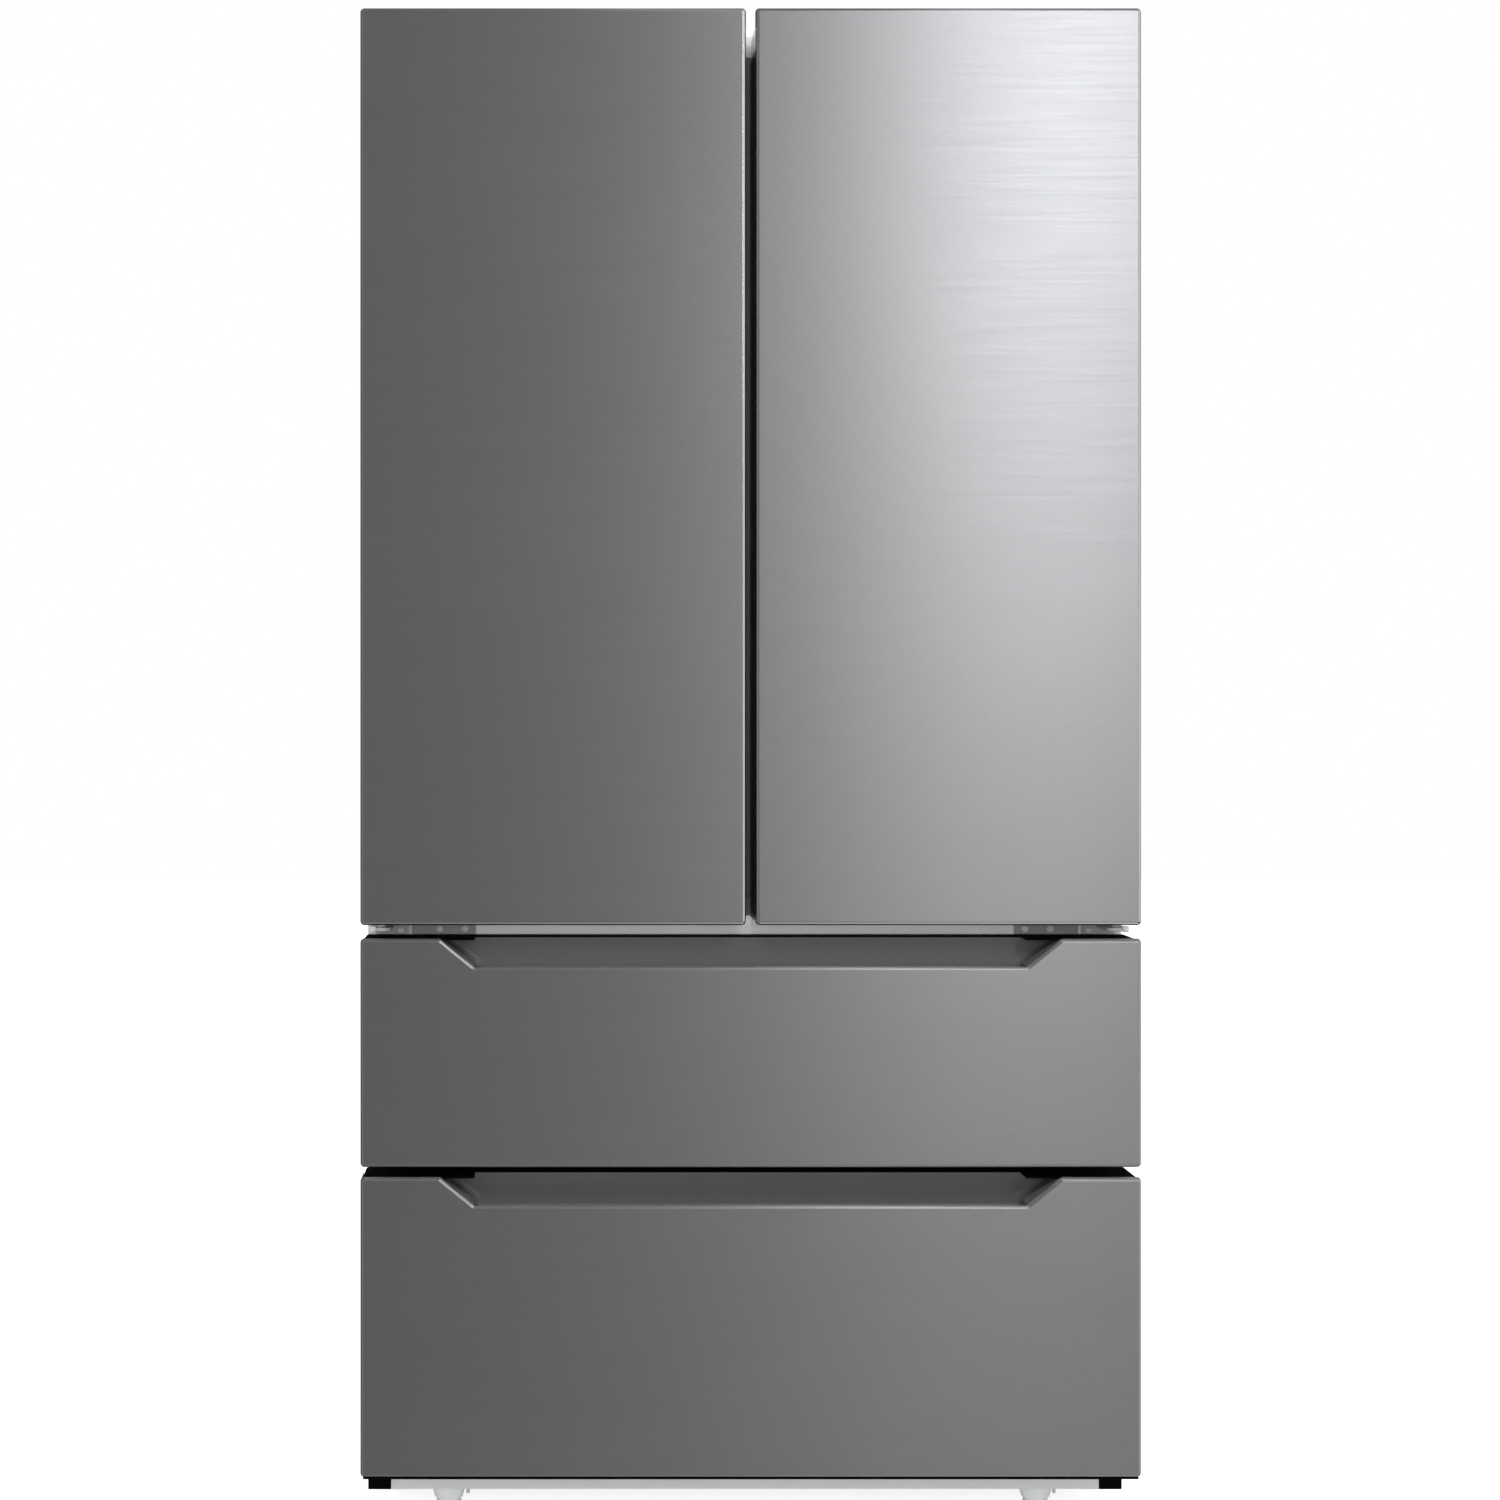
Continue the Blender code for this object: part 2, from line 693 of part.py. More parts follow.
def make_hinges(paint):
    """Each door turns on a pin above it and a pin below it."""
    for side, sign in sides():
        x = sign * (HALF_DOORS - HINGE_INSET[0])
        y = DOOR_FACE + HINGE_INSET[1]
        arm_z = (CABINET_TOP + 0.0008, CABINET_TOP + 0.0045)
        top = block(
            "top_hinge_" + side,
            mirrored(sign, 0.335, 0.446),
            (-0.297, -0.130),
            (CABINET_TOP + TOUCH, HEIGHT - 0.0015),
            paint["dark_plastic"],
        )
        join(
            top,
            prism(helper("top_arm_" + side), arm_outline(x, y, -0.290, 0.011), "Z", arm_z),
            rod(helper("top_pin_" + side), (x, y, 1.7500), HINGE_PIN_R, 0.034),
        )

        plate_z = (0.7030, 0.7070)
        lower = block(
            "center_hinge_" + side,
            mirrored(sign, 0.3205, 0.444),
            (CABINET_FACE - 0.0035, CABINET_FACE - TOUCH),
            (0.6900, 0.7120),
            paint["black_steel"],
        )
        join(
            lower,
            prism(helper("center_arm_" + side), arm_outline(x, y, CABINET_FACE - 0.002, 0.012), "Z", plate_z),
            rod(helper("center_pin_" + side), (x, y, 0.7200), HINGE_PIN_R, 0.028),
        )


def pin_holes(side, axis):
    """Holes for the hinge pins in a door's top and bottom."""
    return (
        rod(helper("top_hole_" + side), (axis.x, axis.y, 1.755), HINGE_PIN_R + 0.0005, 0.050),
        rod(helper("bottom_hole_" + side), (axis.x, axis.y, 0.720), HINGE_PIN_R + 0.0005, 0.036),
    )


def make_door(side, sign, paint):
    """A door: stainless skin, foamed core with its white liner, gasket and three bins."""
    axis = Vector((sign * (HALF_DOORS - HINGE_INSET[0]), DOOR_FACE + HINGE_INSET[1], DOOR_BOTTOM))
    inner_edge = DOOR_GAP / 2
    x = mirrored(sign, inner_edge, HALF_DOORS)
    holes = pin_holes(side, axis)
    rebate = block(
        helper("door_rebate_" + side), (-1, 1), (DOOR_FACE + LIP, 1), (DOOR_REST_TOP, 2)
    )

    skin = block(f"{side}_door_skin", x, (DOOR_FACE, DOOR_FACE + SKIN_RETURN), (DOOR_BOTTOM, HEIGHT), paint["stainless"])
    inside_x = (x[0] + SKIN, x[1] - SKIN)
    cut(
        skin,
        block(
            helper(f"{side}_skin_inside"), inside_x, (DOOR_FACE + SKIN, 1), (DOOR_BOTTOM + SKIN, HEIGHT - SKIN)
        ),
        block(helper(f"{side}_skin_bottom"), inside_x, (DOOR_FACE + LIP, 1), (0, 1)),
        rebate,
    )

    core_x = (inside_x[0] + TOUCH, inside_x[1] - TOUCH)
    face = DOOR_FACE + SKIN + TOUCH
    back = DOOR_FACE + SLAB
    lip = DOOR_FACE + LIP - TOUCH
    low, high = DOOR_BOTTOM + SKIN + TOUCH, HEIGHT - SKIN - TOUCH
    core = prism(
        f"{side}_door_core",
        [(face, low), (back, low), (back, DOOR_REST_TOP), (lip, DOOR_REST_TOP), (lip, high), (face, high)],
        "X",
        core_x,
        paint["white_plastic"],
    )
    dyke = block(
        helper(f"{side}_dyke"), mirrored(sign, 0.042, 0.390), (back - 0.001, DOOR_FACE + 0.108), (0.7475, 1.7305)
    )
    add_bevel(dyke, 0.006, 2)
    join(core, dyke)
    cut(
        core,
        block(
            helper(f"{side}_dyke_inside"),
            mirrored(sign, 0.064, 0.368),
            (DOOR_FACE + 0.082, 1),
            (0.7695, 1.7085),
        ),
        *holes,
    )
    if side == "left":
        join(core, *mullion_brackets())

    gasket = frame_ring(
        f"{side}_door_gasket",
        mirrored(sign, 0.010, HALF_DOORS - 0.024),
        (0.7165, 1.7560),
        GASKET_WIDTH,
        (SLAB + TOUCH, GASKET_BACK),
        paint["gasket_rubber"],
    )

    pieces = [skin, core, gasket]
    for level, z in BIN_LEVELS.items():
        bin_x = mirrored(sign, 0.0645, 0.3675)
        bin_y = (DOOR_FACE + 0.0825, DOOR_FACE + BIN_REACH)
        pieces.append(
            tray(f"{side}_door_bin_{level}", bin_x, bin_y, (z, z + BIN_HEIGHT), 0.0025, paint["clear_plastic"])
        )
    hang_from(f"{side}_door", axis, *pieces)


def mullion_brackets():
    """The two arms on the left door that hold the mullion's pivots, each with its pivot pin."""
    made = []
    for end, z, pin_z in (("top", (1.7200, 1.7250), 1.7180), ("bottom", (0.7495, 0.7545), 0.7570)):
        arm = block(
            helper("mullion_arm_" + end),
            (-0.060, MULLION_PIVOT.x + 0.005),
            (MULLION_PIVOT.y - 0.005, MULLION_PIVOT.y + 0.005),
            z,
        )
        pin = rod(helper("mullion_pivot_" + end), (MULLION_PIVOT.x, MULLION_PIVOT.y, pin_z), 0.0025, 0.012)
        made += [arm, pin]
    return made


def make_mullion(paint):
    """The bar that closes the gap between the doors. It folds back against the left door."""
    front, back = -0.006, 0.014
    arc = [
        (0.006 * math.cos(math.radians(a)), 0.006 * math.sin(math.radians(a))) for a in range(180, 271, 15)
    ]
    outline = arc + [(0.050, front), (0.050, back), (-0.006, back)]
    placed = [(MULLION_PIVOT.x + u, MULLION_PIVOT.y + v) for u, v in outline]
    mullion = prism("mullion", placed, "Z", MULLION_Z, paint["dark_plastic"])
    x = MULLION_PIVOT.x
    flap_x = (x + 0.0115, x + 0.036)
    flap_y = (MULLION_PIVOT.y + front, MULLION_PIVOT.y + front + 0.003)
    pin = MULLION_PIVOT + MULLION_PIN
    join(
        mullion,
        block(helper("mullion_flap_top"), flap_x, flap_y, (MULLION_Z[1] - 0.001, 1.7385)),
        block(helper("mullion_flap_bottom"), flap_x, flap_y, (0.7388, MULLION_Z[0] + 0.001)),
        rod(helper("guide_pin"), (pin.x, pin.y, 1.726), 0.003, 0.017),
    )
    pivot_holes = [
        rod(helper("pivot_hole_" + end), (x, MULLION_PIVOT.y, z), 0.0030, 0.020)
        for end, z in (("top", MULLION_Z[1]), ("bottom", MULLION_Z[0]))
    ]
    cut(mullion, *pivot_holes)
    hang_from("mullion", (x, MULLION_PIVOT.y, MULLION_Z[0]), mullion)


# ---------------------------------------------------------------- freezer drawers

GRIP_DROP = 0.032  # how far the grip notch reaches down the drawer's face
GRIP_HALF = (0.360, 0.3205)  # half width of the notch at the top edge and at its bottom
GRIP_FLOOR = 0.046  # pocket floor below the drawer's top
GRIP_DEPTH = 0.048
RAIL_SPAN = {"upper": (-0.262, 0.135), "lower": (-0.262, 0.100)}
RAIL_Z = {"upper": 0.4590, "lower": 0.1160}
TRACK_X = (0.3860, 0.3966)
SLIDER_X = (0.3746, 0.3857)
ARM_X = (0.3605, 0.3743)


def notch_outline(top, drop):
    """The grip notch in the drawer's face. Below the notch's own depth it stays the same width."""
    half_top, half_bottom = GRIP_HALF
    slope = (half_top - half_bottom) / GRIP_DROP
    above = 0.010
    points = [(half_top + slope * above, top + above), (half_bottom, top - GRIP_DROP)]
    if drop > GRIP_DROP:
        points.append((half_bottom, top - drop))
    return [(-x, z) for x, z in points] + list(reversed(points))


def make_drawer(which, span_z, paint):
    """A freezer drawer: skin, grip, core, gasket, frame, telescopic sliders and basket."""
    low, high = span_z
    x = (-HALF_DOORS, HALF_DOORS)
    inside_x = (x[0] + SKIN, x[1] - SKIN)
    name = which + "_drawer"

    skin = block(name + "_skin", x, (DOOR_FACE, DOOR_FACE + SKIN_RETURN), (low, high), paint["stainless"])
    cut(
        skin,
        block(helper(name + "_skin_inside"), inside_x, (DOOR_FACE + SKIN, 1), (low + SKIN, high - SKIN)),
        block(helper(name + "_skin_back"), inside_x, (DOOR_FACE + LIP, 1), (low - 1, high + 1)),
        prism(helper(name + "_notch"), notch_outline(high, GRIP_DROP), "Y", (DOOR_FACE - 0.01, DOOR_FACE + LIP + 0.001)),
    )

    cap_top, cap_bottom = high - SKIN - TOUCH, high - 0.0070
    pocket_half = GRIP_HALF[0] + 0.014
    pocket_low = high - GRIP_FLOOR - 0.004
    core_x = (inside_x[0] + TOUCH, inside_x[1] - TOUCH)
    face = DOOR_FACE + SKIN + TOUCH
    back = DOOR_FACE + SLAB
    grip = block(name + "_grip", core_x, (face, back), (cap_bottom, cap_top), paint["grip_plastic"])
    join(
        grip,
        block(helper(name + "_pocket"), (-pocket_half, pocket_half), (face, back), (pocket_low, cap_bottom + 0.001)),
    )
    pocket_outline = notch_outline(high, GRIP_FLOOR)
    cut(grip, prism(helper(name + "_pocket_inside"), pocket_outline, "Y", (DOOR_FACE + 0.0035, DOOR_FACE + GRIP_DEPTH)))
    cut(grip, prism(helper(name + "_pocket_mouth"), notch_outline(high, GRIP_DROP), "Y", (DOOR_FACE - 0.1, DOOR_FACE + 0.01)))

    core = block(name + "_core", core_x, (face, back), (low + SKIN + TOUCH, cap_bottom - TOUCH), paint["white_plastic"])
    cut(
        core,
        block(
            helper(name + "_grip_seat"),
            (-pocket_half - TOUCH, pocket_half + TOUCH),
            (-1, 1),
            (pocket_low - TOUCH, high + 1),
        ),
    )

    gasket = frame_ring(
        name + "_gasket",
        (-(HALF_DOORS - 0.024), HALF_DOORS - 0.024),
        (low + 0.008, high - 0.008),
        GASKET_WIDTH,
        (SLAB + TOUCH, GASKET_BACK),
        paint["gasket_rubber"],
    )

    rail_z = RAIL_Z[which]
    rear = RAIL_SPAN[which][1]
    frame = block(name + "_frame", mirrored(-1, *ARM_X), (back + TOUCH, rear), (rail_z, rail_z + 0.030), paint["zinc_steel"])
    bar_y = (rear - 0.100, rear - 0.075)
    bar_half = ARM_X[0] + 0.001
    join(
        frame,
        block(helper(name + "_arm"), ARM_X, (back + TOUCH, rear), (rail_z, rail_z + 0.030)),
        block(helper(name + "_bar"), (-bar_half, bar_half), bar_y, (rail_z, rail_z + 0.008)),
    )

    basket_top = {"upper": 0.6350, "lower": 0.3700}[which]
    basket = tray(
        name + "_basket",
        (-0.3570, 0.3570),
        (back + 0.014, rear),
        (rail_z + 0.0105, basket_top),
        0.003,
        paint["clear_plastic"],
    )
    hang_from(name, (0, DOOR_FACE, low), skin, grip, core, gasket, frame, basket)

    slider_z = (rail_z + 0.003, rail_z + 0.027)
    slider_y = (RAIL_SPAN[which][0], rear)
    rod_z = rail_z - 0.008
    tail_y = (rear - 0.010, rear)
    sliders = block(name + "_sliders", mirrored(-1, *SLIDER_X), slider_y, slider_z, paint["zinc_steel"])
    join(
        sliders,
        block(helper(name + "_slider"), SLIDER_X, slider_y, slider_z),
        block(helper(name + "_tail_left"), mirrored(-1, *SLIDER_X), tail_y, (rod_z - 0.003, rail_z + 0.004)),
        block(helper(name + "_tail_right"), SLIDER_X, tail_y, (rod_z - 0.003, rail_z + 0.004)),
        rod(helper(name + "_sync_rod"), (0, rear - 0.005, rod_z), 0.003, 2 * SLIDER_X[0] + 0.004, "X", sides=12),
    )
    hang_from(name + "_sliders", (0, slider_y[0], rail_z), sliders)


def make_tracks(paint):
    """On each side, one bracket that holds the fixed tracks of both drawers."""
    plate_y = (-0.235, 0.100)
    for side, sign in sides():
        plate = block(
            "slide_track_" + side,
            mirrored(sign, 0.3940, TRACK_X[1]),
            plate_y,
            (RAIL_Z["lower"], RAIL_Z["upper"] + 0.030),
            paint["zinc_steel"],
        )
        channels = [
            block(
                helper(f"track_{which}_{side}"),
                mirrored(sign, *TRACK_X),
                RAIL_SPAN[which],
                (RAIL_Z[which] + 0.001, RAIL_Z[which] + 0.029),
            )
            for which in RAIL_Z
        ]
        join(plate, *channels)


# ---------------------------------------------------------------- feet and rollers

def make_feet(paint):
    """Two levelling feet at the front and two rollers on one axle at the back."""
    for side, sign in sides():
        name = "front_foot_" + side
        foot = turned(
            name,
            [
                (0.0, 0.0560),
                (0.005, 0.0560),
                (0.005, 0.0315),
                (0.0175, 0.0315),
                (0.0180, 0.0280),
                (0.0155, 0.0100),
                (0.0140, 0.0090),
                (0.0140, 0.0015),
                (0.0130, 0.0),
                (0.0, 0.0),
            ],
            (sign * FOOT_X, FOOT_Y, 0.0),
            paint["foot_plastic"],
        )
        hang_from(name, (sign * FOOT_X, FOOT_Y, 0.0), foot)

    axle = rod("rear_rollers", (0, ROLLER_Y, ROLLER_R), 0.003, 0.748, "X", paint["dark_plastic"], sides=16)
    wheels = [
        rod(helper("roller_" + side), (sign * FOOT_X, ROLLER_Y, ROLLER_R), ROLLER_R, 0.022, "X", sides=28)
        for side, sign in sides()
    ]
    join(axle, *wheels)
    hang_from("rear_rollers", (0, ROLLER_Y, ROLLER_R), axle)


def main():
    clear_scene()
    paint = make_materials()
    make_cabinet(paint)
    make_rails(paint)
    make_cooling(paint)
    make_fridge_inside(paint)
    make_hinges(paint)
    for side, sign in sides():
        make_door(side, sign, paint)
    make_mullion(paint)
    make_drawer("upper", UPPER_DRAWER, paint)
    make_drawer("lower", LOWER_DRAWER, paint)
    make_tracks(paint)
    make_feet(paint)


main()
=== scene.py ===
"""Looks of the french door refrigerator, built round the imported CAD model.

Metres, +Z up, the front faces -Y.
"""

import json
import math

import bmesh
import bpy
from mathutils import Matrix, Vector


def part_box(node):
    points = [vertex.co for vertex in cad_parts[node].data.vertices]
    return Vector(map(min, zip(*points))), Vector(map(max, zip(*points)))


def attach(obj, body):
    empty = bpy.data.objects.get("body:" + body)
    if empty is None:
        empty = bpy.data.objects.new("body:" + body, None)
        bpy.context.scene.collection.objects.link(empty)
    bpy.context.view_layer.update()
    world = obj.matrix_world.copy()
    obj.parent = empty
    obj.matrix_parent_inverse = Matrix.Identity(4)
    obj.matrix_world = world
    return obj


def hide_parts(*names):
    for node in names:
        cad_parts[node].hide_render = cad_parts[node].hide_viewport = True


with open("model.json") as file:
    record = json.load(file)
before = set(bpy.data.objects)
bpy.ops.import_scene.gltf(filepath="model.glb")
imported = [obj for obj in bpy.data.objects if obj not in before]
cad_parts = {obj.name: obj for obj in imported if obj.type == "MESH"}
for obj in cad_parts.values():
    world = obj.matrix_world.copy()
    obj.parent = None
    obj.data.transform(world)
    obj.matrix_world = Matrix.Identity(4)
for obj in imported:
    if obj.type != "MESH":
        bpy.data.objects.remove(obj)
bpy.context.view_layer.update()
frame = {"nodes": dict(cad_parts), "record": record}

SIDES = (("left", -1), ("right", 1))
JOINTS = {row["name"]: row for row in frame["record"]["behaviour"]["joints"]}
DOOR_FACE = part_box("left_door_skin")[0].y


# ---------------------------------------------------------------- materials

def new_material(name, roughness, metallic=0.0, **sockets):
    """A Principled material, its node tree and its shader. Each keyword sets the socket of that name."""
    made = bpy.data.materials.new(name)
    made.use_nodes = True
    tree = made.node_tree
    shader = tree.nodes["Principled BSDF"]
    shader.inputs["Roughness"].default_value = roughness
    shader.inputs["Metallic"].default_value = metallic
    for socket, value in sockets.items():
        shader.inputs[socket.replace("_", " ")].default_value = value
    return made, tree, shader


def noise(tree, scale, detail=3.0, roughness=0.5, seed=0.0):
    """A noise in the piece's own space, with its own scale along each axis."""
    place = tree.nodes.new("ShaderNodeTexCoord")
    fit = tree.nodes.new("ShaderNodeMapping")
    fit.inputs["Scale"].default_value = scale
    fit.inputs["Location"].default_value = (seed, seed * 1.7, seed * 0.6)
    tree.links.new(place.outputs["Object"], fit.inputs["Vector"])
    made = tree.nodes.new("ShaderNodeTexNoise")
    made.inputs["Scale"].default_value = 1.0
    made.inputs["Detail"].default_value = detail
    made.inputs["Roughness"].default_value = roughness
    tree.links.new(fit.outputs["Vector"], made.inputs["Vector"])
    return made.outputs["Fac"]


def spread(tree, value, low, high, start=0.3, end=0.7):
    """The value's start to end, spread over low to high."""
    made = tree.nodes.new("ShaderNodeMapRange")
    made.inputs["From Min"].default_value = start
    made.inputs["From Max"].default_value = end
    made.inputs["To Min"].default_value = low
    made.inputs["To Max"].default_value = high
    tree.links.new(value, made.inputs["Value"])
    return made.outputs["Result"]


def combine(tree, first, second, operation="MULTIPLY"):
    made = tree.nodes.new("ShaderNodeMath")
    made.operation = operation
    tree.links.new(first, made.inputs[0])
    tree.links.new(second, made.inputs[1])
    return made.outputs["Value"]


def tint(tree, shader, colour, factor):
    """Base colour times a factor that varies over the surface."""
    made = tree.nodes.new("ShaderNodeVectorMath")
    made.operation = "SCALE"
    made.inputs[0].default_value = colour
    tree.links.new(factor, made.inputs["Scale"])
    tree.links.new(made.outputs["Vector"], shader.inputs["Base Color"])


def bump(tree, shader, height, strength, distance):
    made = tree.nodes.new("ShaderNodeBump")
    made.inputs["Strength"].default_value = strength
    made.inputs["Distance"].default_value = distance
    tree.links.new(height, made.inputs["Height"])
    tree.links.new(made.outputs["Normal"], shader.inputs["Normal"])


def grained(name, colour, roughness, grain=900.0, relief=0.00005, variation=0.05, metallic=0.0, **sockets):
    """A moulded or painted surface: fine grain in relief, faint clouding, and roughness that follows both."""
    made, tree, shader = new_material(name, roughness, metallic, **sockets)
    fine = noise(tree, (grain,) * 3, 2.0)
    broad = noise(tree, (7.0,) * 3, 4.0, seed=3.1)
    factor = combine(
        tree,
        spread(tree, fine, 1 - variation / 2, 1 + variation / 2),
        spread(tree, broad, 1 - variation * 0.3, 1 + variation * 0.3),
    )
    tint(tree, shader, colour, factor)
    uneven = spread(tree, fine, roughness * 0.92, roughness * 1.08)
    tree.links.new(combine(tree, uneven, spread(tree, broad, 0.97, 1.03)), shader.inputs["Roughness"])
    bump(tree, shader, fine, 0.5, relief)
    return made


def brushed(name, colour, roughness, anisotropic):
    """Satin steel, brushed level with the floor, so that its highlights run up and down."""
    lines_per_metre, variation = 1500.0, 0.030
    made, tree, shader = new_material(
        name, roughness, 1.0, Anisotropic=anisotropic, Anisotropic_Rotation=0.25
    )
    round_z = tree.nodes.new("ShaderNodeTangent")
    round_z.direction_type = "RADIAL"
    round_z.axis = "Z"
    tree.links.new(round_z.outputs["Tangent"], shader.inputs["Tangent"])
    line = noise(tree, (9.0, 9.0, lines_per_metre), 3.0, 0.6)
    speck = noise(tree, (160.0, 160.0, lines_per_metre), 2.0, 0.5, seed=5.3)
    broad = noise(tree, (2.2, 2.2, 2.6), 2.0, seed=1.4)
    factor = combine(
        tree,
        combine(tree, spread(tree, line, 1 - variation, 1 + variation), spread(tree, speck, 0.97, 1.03)),
        spread(tree, broad, 0.985, 1.015),
    )
    tint(tree, shader, colour, factor)
    tree.links.new(spread(tree, line, roughness * 0.93, roughness * 1.07), shader.inputs["Roughness"])
    bump(tree, shader, line, 0.25, 0.000012)
    return made


def rolled(name, colour, roughness):
    """Bare or plated sheet, with faint clouding and fine scratches."""
    made, tree, shader = new_material(name, roughness, 1.0)
    scratch = noise(tree, (30.0, 600.0, 600.0), 4.0, 0.6)
    spangle = tree.nodes.new("ShaderNodeTexVoronoi")
    spangle.inputs["Scale"].default_value = 90.0
    place = tree.nodes.new("ShaderNodeTexCoord")
    tree.links.new(place.outputs["Object"], spangle.inputs["Vector"])
    factor = combine(
        tree,
        spread(tree, scratch, 0.93, 1.06),
        spread(tree, spangle.outputs["Distance"], 0.95, 1.04, 0.0, 0.9),
    )
    tint(tree, shader, colour, factor)
    tree.links.new(spread(tree, scratch, roughness * 0.85, roughness * 1.2), shader.inputs["Roughness"])
    bump(tree, shader, scratch, 0.2, 0.00003)
    return made


def clear(name, colour, roughness):
    """Glass or clear plastic, with a barely uneven surface."""
    made, tree, shader = new_material(name, roughness, Transmission_Weight=0.92, IOR=1.5)
    swirl = noise(tree, (14.0,) * 3, 3.0)
    tint(tree, shader, colour, spread(tree, swirl, 0.97, 1.03))
    tree.links.new(spread(tree, swirl, roughness * 0.7, roughness * 1.3), shader.inputs["Roughness"])
    bump(tree, shader, swirl, 0.05, 0.0002)
    return made


MAT = {
    "stainless": brushed("satin_stainless", (0.457, 0.464, 0.476), 0.46, 0.78),
    "side_steel": grained("side_paint", (0.30, 0.305, 0.31), 0.38, 1500.0, 0.00003, 0.04, 0.4),
    "painted": grained("cabinet_paint", (0.56, 0.57, 0.58), 0.42, 1300.0, 0.00004, 0.03),
    "rear_paint": grained("rear_paint", (0.43, 0.44, 0.45), 0.50, 1100.0, 0.00006, 0.04),
    # Near white, so that the cross rail, down in the shaded gap over the drawers, comes out pale: painted
    # light. The bottom rail, which gets more light, has a darker copy of the same paint.
    "pale_rail": grained("rail_paint", (0.88, 0.89, 0.90), 0.38, 1500.0, 0.00003, 0.03),
    "lit_rail_darkened": grained("lit_rail_darkened_paint", (0.44, 0.445, 0.45), 0.45, 1500.0, 0.00003, 0.03),
    "dark_plastic": grained("black_plastic", (0.020, 0.020, 0.022), 0.50, 1100.0, 0.00006, 0.10),
    "grip_plastic": grained("grip_plastic", (0.075, 0.076, 0.079), 0.50, 1200.0, 0.00005, 0.06),
    # Black plastic made darker than real black plastic, with its reflection nearly taken out, so that it also
    # paints the shade of the gaps round the caps
    "cap_plastic": grained(
        "cap_plastic", (0.0016, 0.0016, 0.0018), 0.80, 1100.0, 0.00005, 0.10, Specular_IOR_Level=0.02
    ),
    "rim_steel": grained("rim_steel", (0.45, 0.454, 0.462), 0.18, 1200.0, 0.000004, 0.03, 1.0),
    # Near-black with little reflection: a painted shadow line on the doors' bottom rims, and painted shade on
    # their sides at the gap between them
    "painted_shade_black": grained(
        "painted_shade_black", (0.004, 0.004, 0.0045), 0.35, 1200.0, 0.00002, 0.05, Specular_IOR_Level=0.12
    ),
    "mullion_plastic": grained("mullion_plastic", (0.130, 0.131, 0.135), 0.40, 1200.0, 0.00004, 0.06),
    "white_plastic": grained(
        "liner_plastic", (0.57, 0.58, 0.59), 0.30, 700.0, 0.00003, 0.02, Coat_Weight=0.2
    ),
    "lamp_lens": grained(
        "lamp_lens", (0.93, 0.95, 0.96), 0.20, 500.0, 0.00002, 0.02,
        Emission_Color=(0.93, 0.97, 1.0, 1.0), Emission_Strength=2.5,
    ),
    "lamp": grained("lamp_diffuser", (0.90, 0.92, 0.93), 0.25, 500.0, 0.00002, 0.02),
    "clear_plastic": clear("clear_polystyrene", (0.93, 0.95, 0.96), 0.06),
    "glass_shelf": clear("shelf_glass", (0.86, 0.94, 0.91), 0.02),
    "gasket_rubber": grained("gasket_rubber", (0.12, 0.12, 0.125), 0.70, 900.0, 0.00005, 0.06),
    "zinc_steel": rolled("zinc_plate", (0.55, 0.56, 0.57), 0.36),
    "screw_steel": grained("screw_zinc", (0.80, 0.81, 0.82), 0.34, 1600.0, 0.00003, 0.06, 0.25),
    "hinge_steel": grained("hinge_steel", (0.40, 0.403, 0.41), 0.45, 1400.0, 0.00004, 0.06, 0.25),
    "hinge_zinc": grained("hinge_zinc", (0.42, 0.43, 0.44), 0.38, 1400.0, 0.00004, 0.06),
    "trim_plastic": grained(
        "trim_plastic", (0.52, 0.53, 0.54), 0.28, 800.0, 0.00003, 0.03, Coat_Weight=0.3
    ),
    "black_steel": grained("black_enamel", (0.014, 0.014, 0.015), 0.35, 900.0, 0.00006, 0.12),
    "fins": rolled("fin_aluminium", (0.76, 0.77, 0.78), 0.32),
    "foam": grained("rigid_foam", (0.75, 0.66, 0.42), 0.90, 260.0, 0.0006, 0.10),
    "foot_plastic": grained("foot_plastic", (0.50, 0.51, 0.52), 0.50, 1200.0, 0.00005, 0.05),
}
# CAD nodes whose material isn't the one of their slot. The bottom rail's is a darker copy of the rail paint,
# set against the light that it gets: painted shade
NODE_MATERIALS = {"mullion": "mullion_plastic", "bottom_rail": "lit_rail_darkened", "rear_panel": "rear_paint"}


def node_group(name, step_type):
    """A geometry group with one step between its input and its output."""
    group = bpy.data.node_groups.new(name, "GeometryNodeTree")
    for way in ("INPUT", "OUTPUT"):
        group.interface.new_socket("Geometry", in_out=way, socket_type="NodeSocketGeometry")
    start = group.nodes.new("NodeGroupInput")
    step = group.nodes.new(step_type)
    end = group.nodes.new("NodeGroupOutput")
    group.links.new(start.outputs[0], step.inputs["Geometry"])
    group.links.new(step.outputs[0], end.inputs[0])
    return group, step


def nudge(piece, axis, limit, offset):
    """Moves the corners whose place along the axis is below the limit."""
    group, step = node_group("nudge_" + piece.name, "GeometryNodeSetPosition")
    step.inputs["Offset"].default_value = offset
    place = group.nodes.new("GeometryNodeInputPosition")
    split = group.nodes.new("ShaderNodeSeparateXYZ")
    test = group.nodes.new("FunctionNodeCompare")
    test.operation = "LESS_THAN"
    test.inputs["B"].default_value = limit - piece.matrix_world.translation["XYZ".index(axis)]
    group.links.new(place.outputs[0], split.inputs[0])
    group.links.new(split.outputs[axis], test.inputs["A"])
    group.links.new(test.outputs[0], step.inputs["Selection"])
    piece.modifiers.new("nudge", "NODES").node_group = group


DRAWER_CORES = ("upper_drawer_core", "lower_drawer_core")
DOOR_CORES = ("left_door_core", "right_door_core")
# How far the front faces of the door cores move back, and the underside of the bottom rail moves up
CORE_SET_BACK = 0.003
RAIL_RAISED = 0.0014


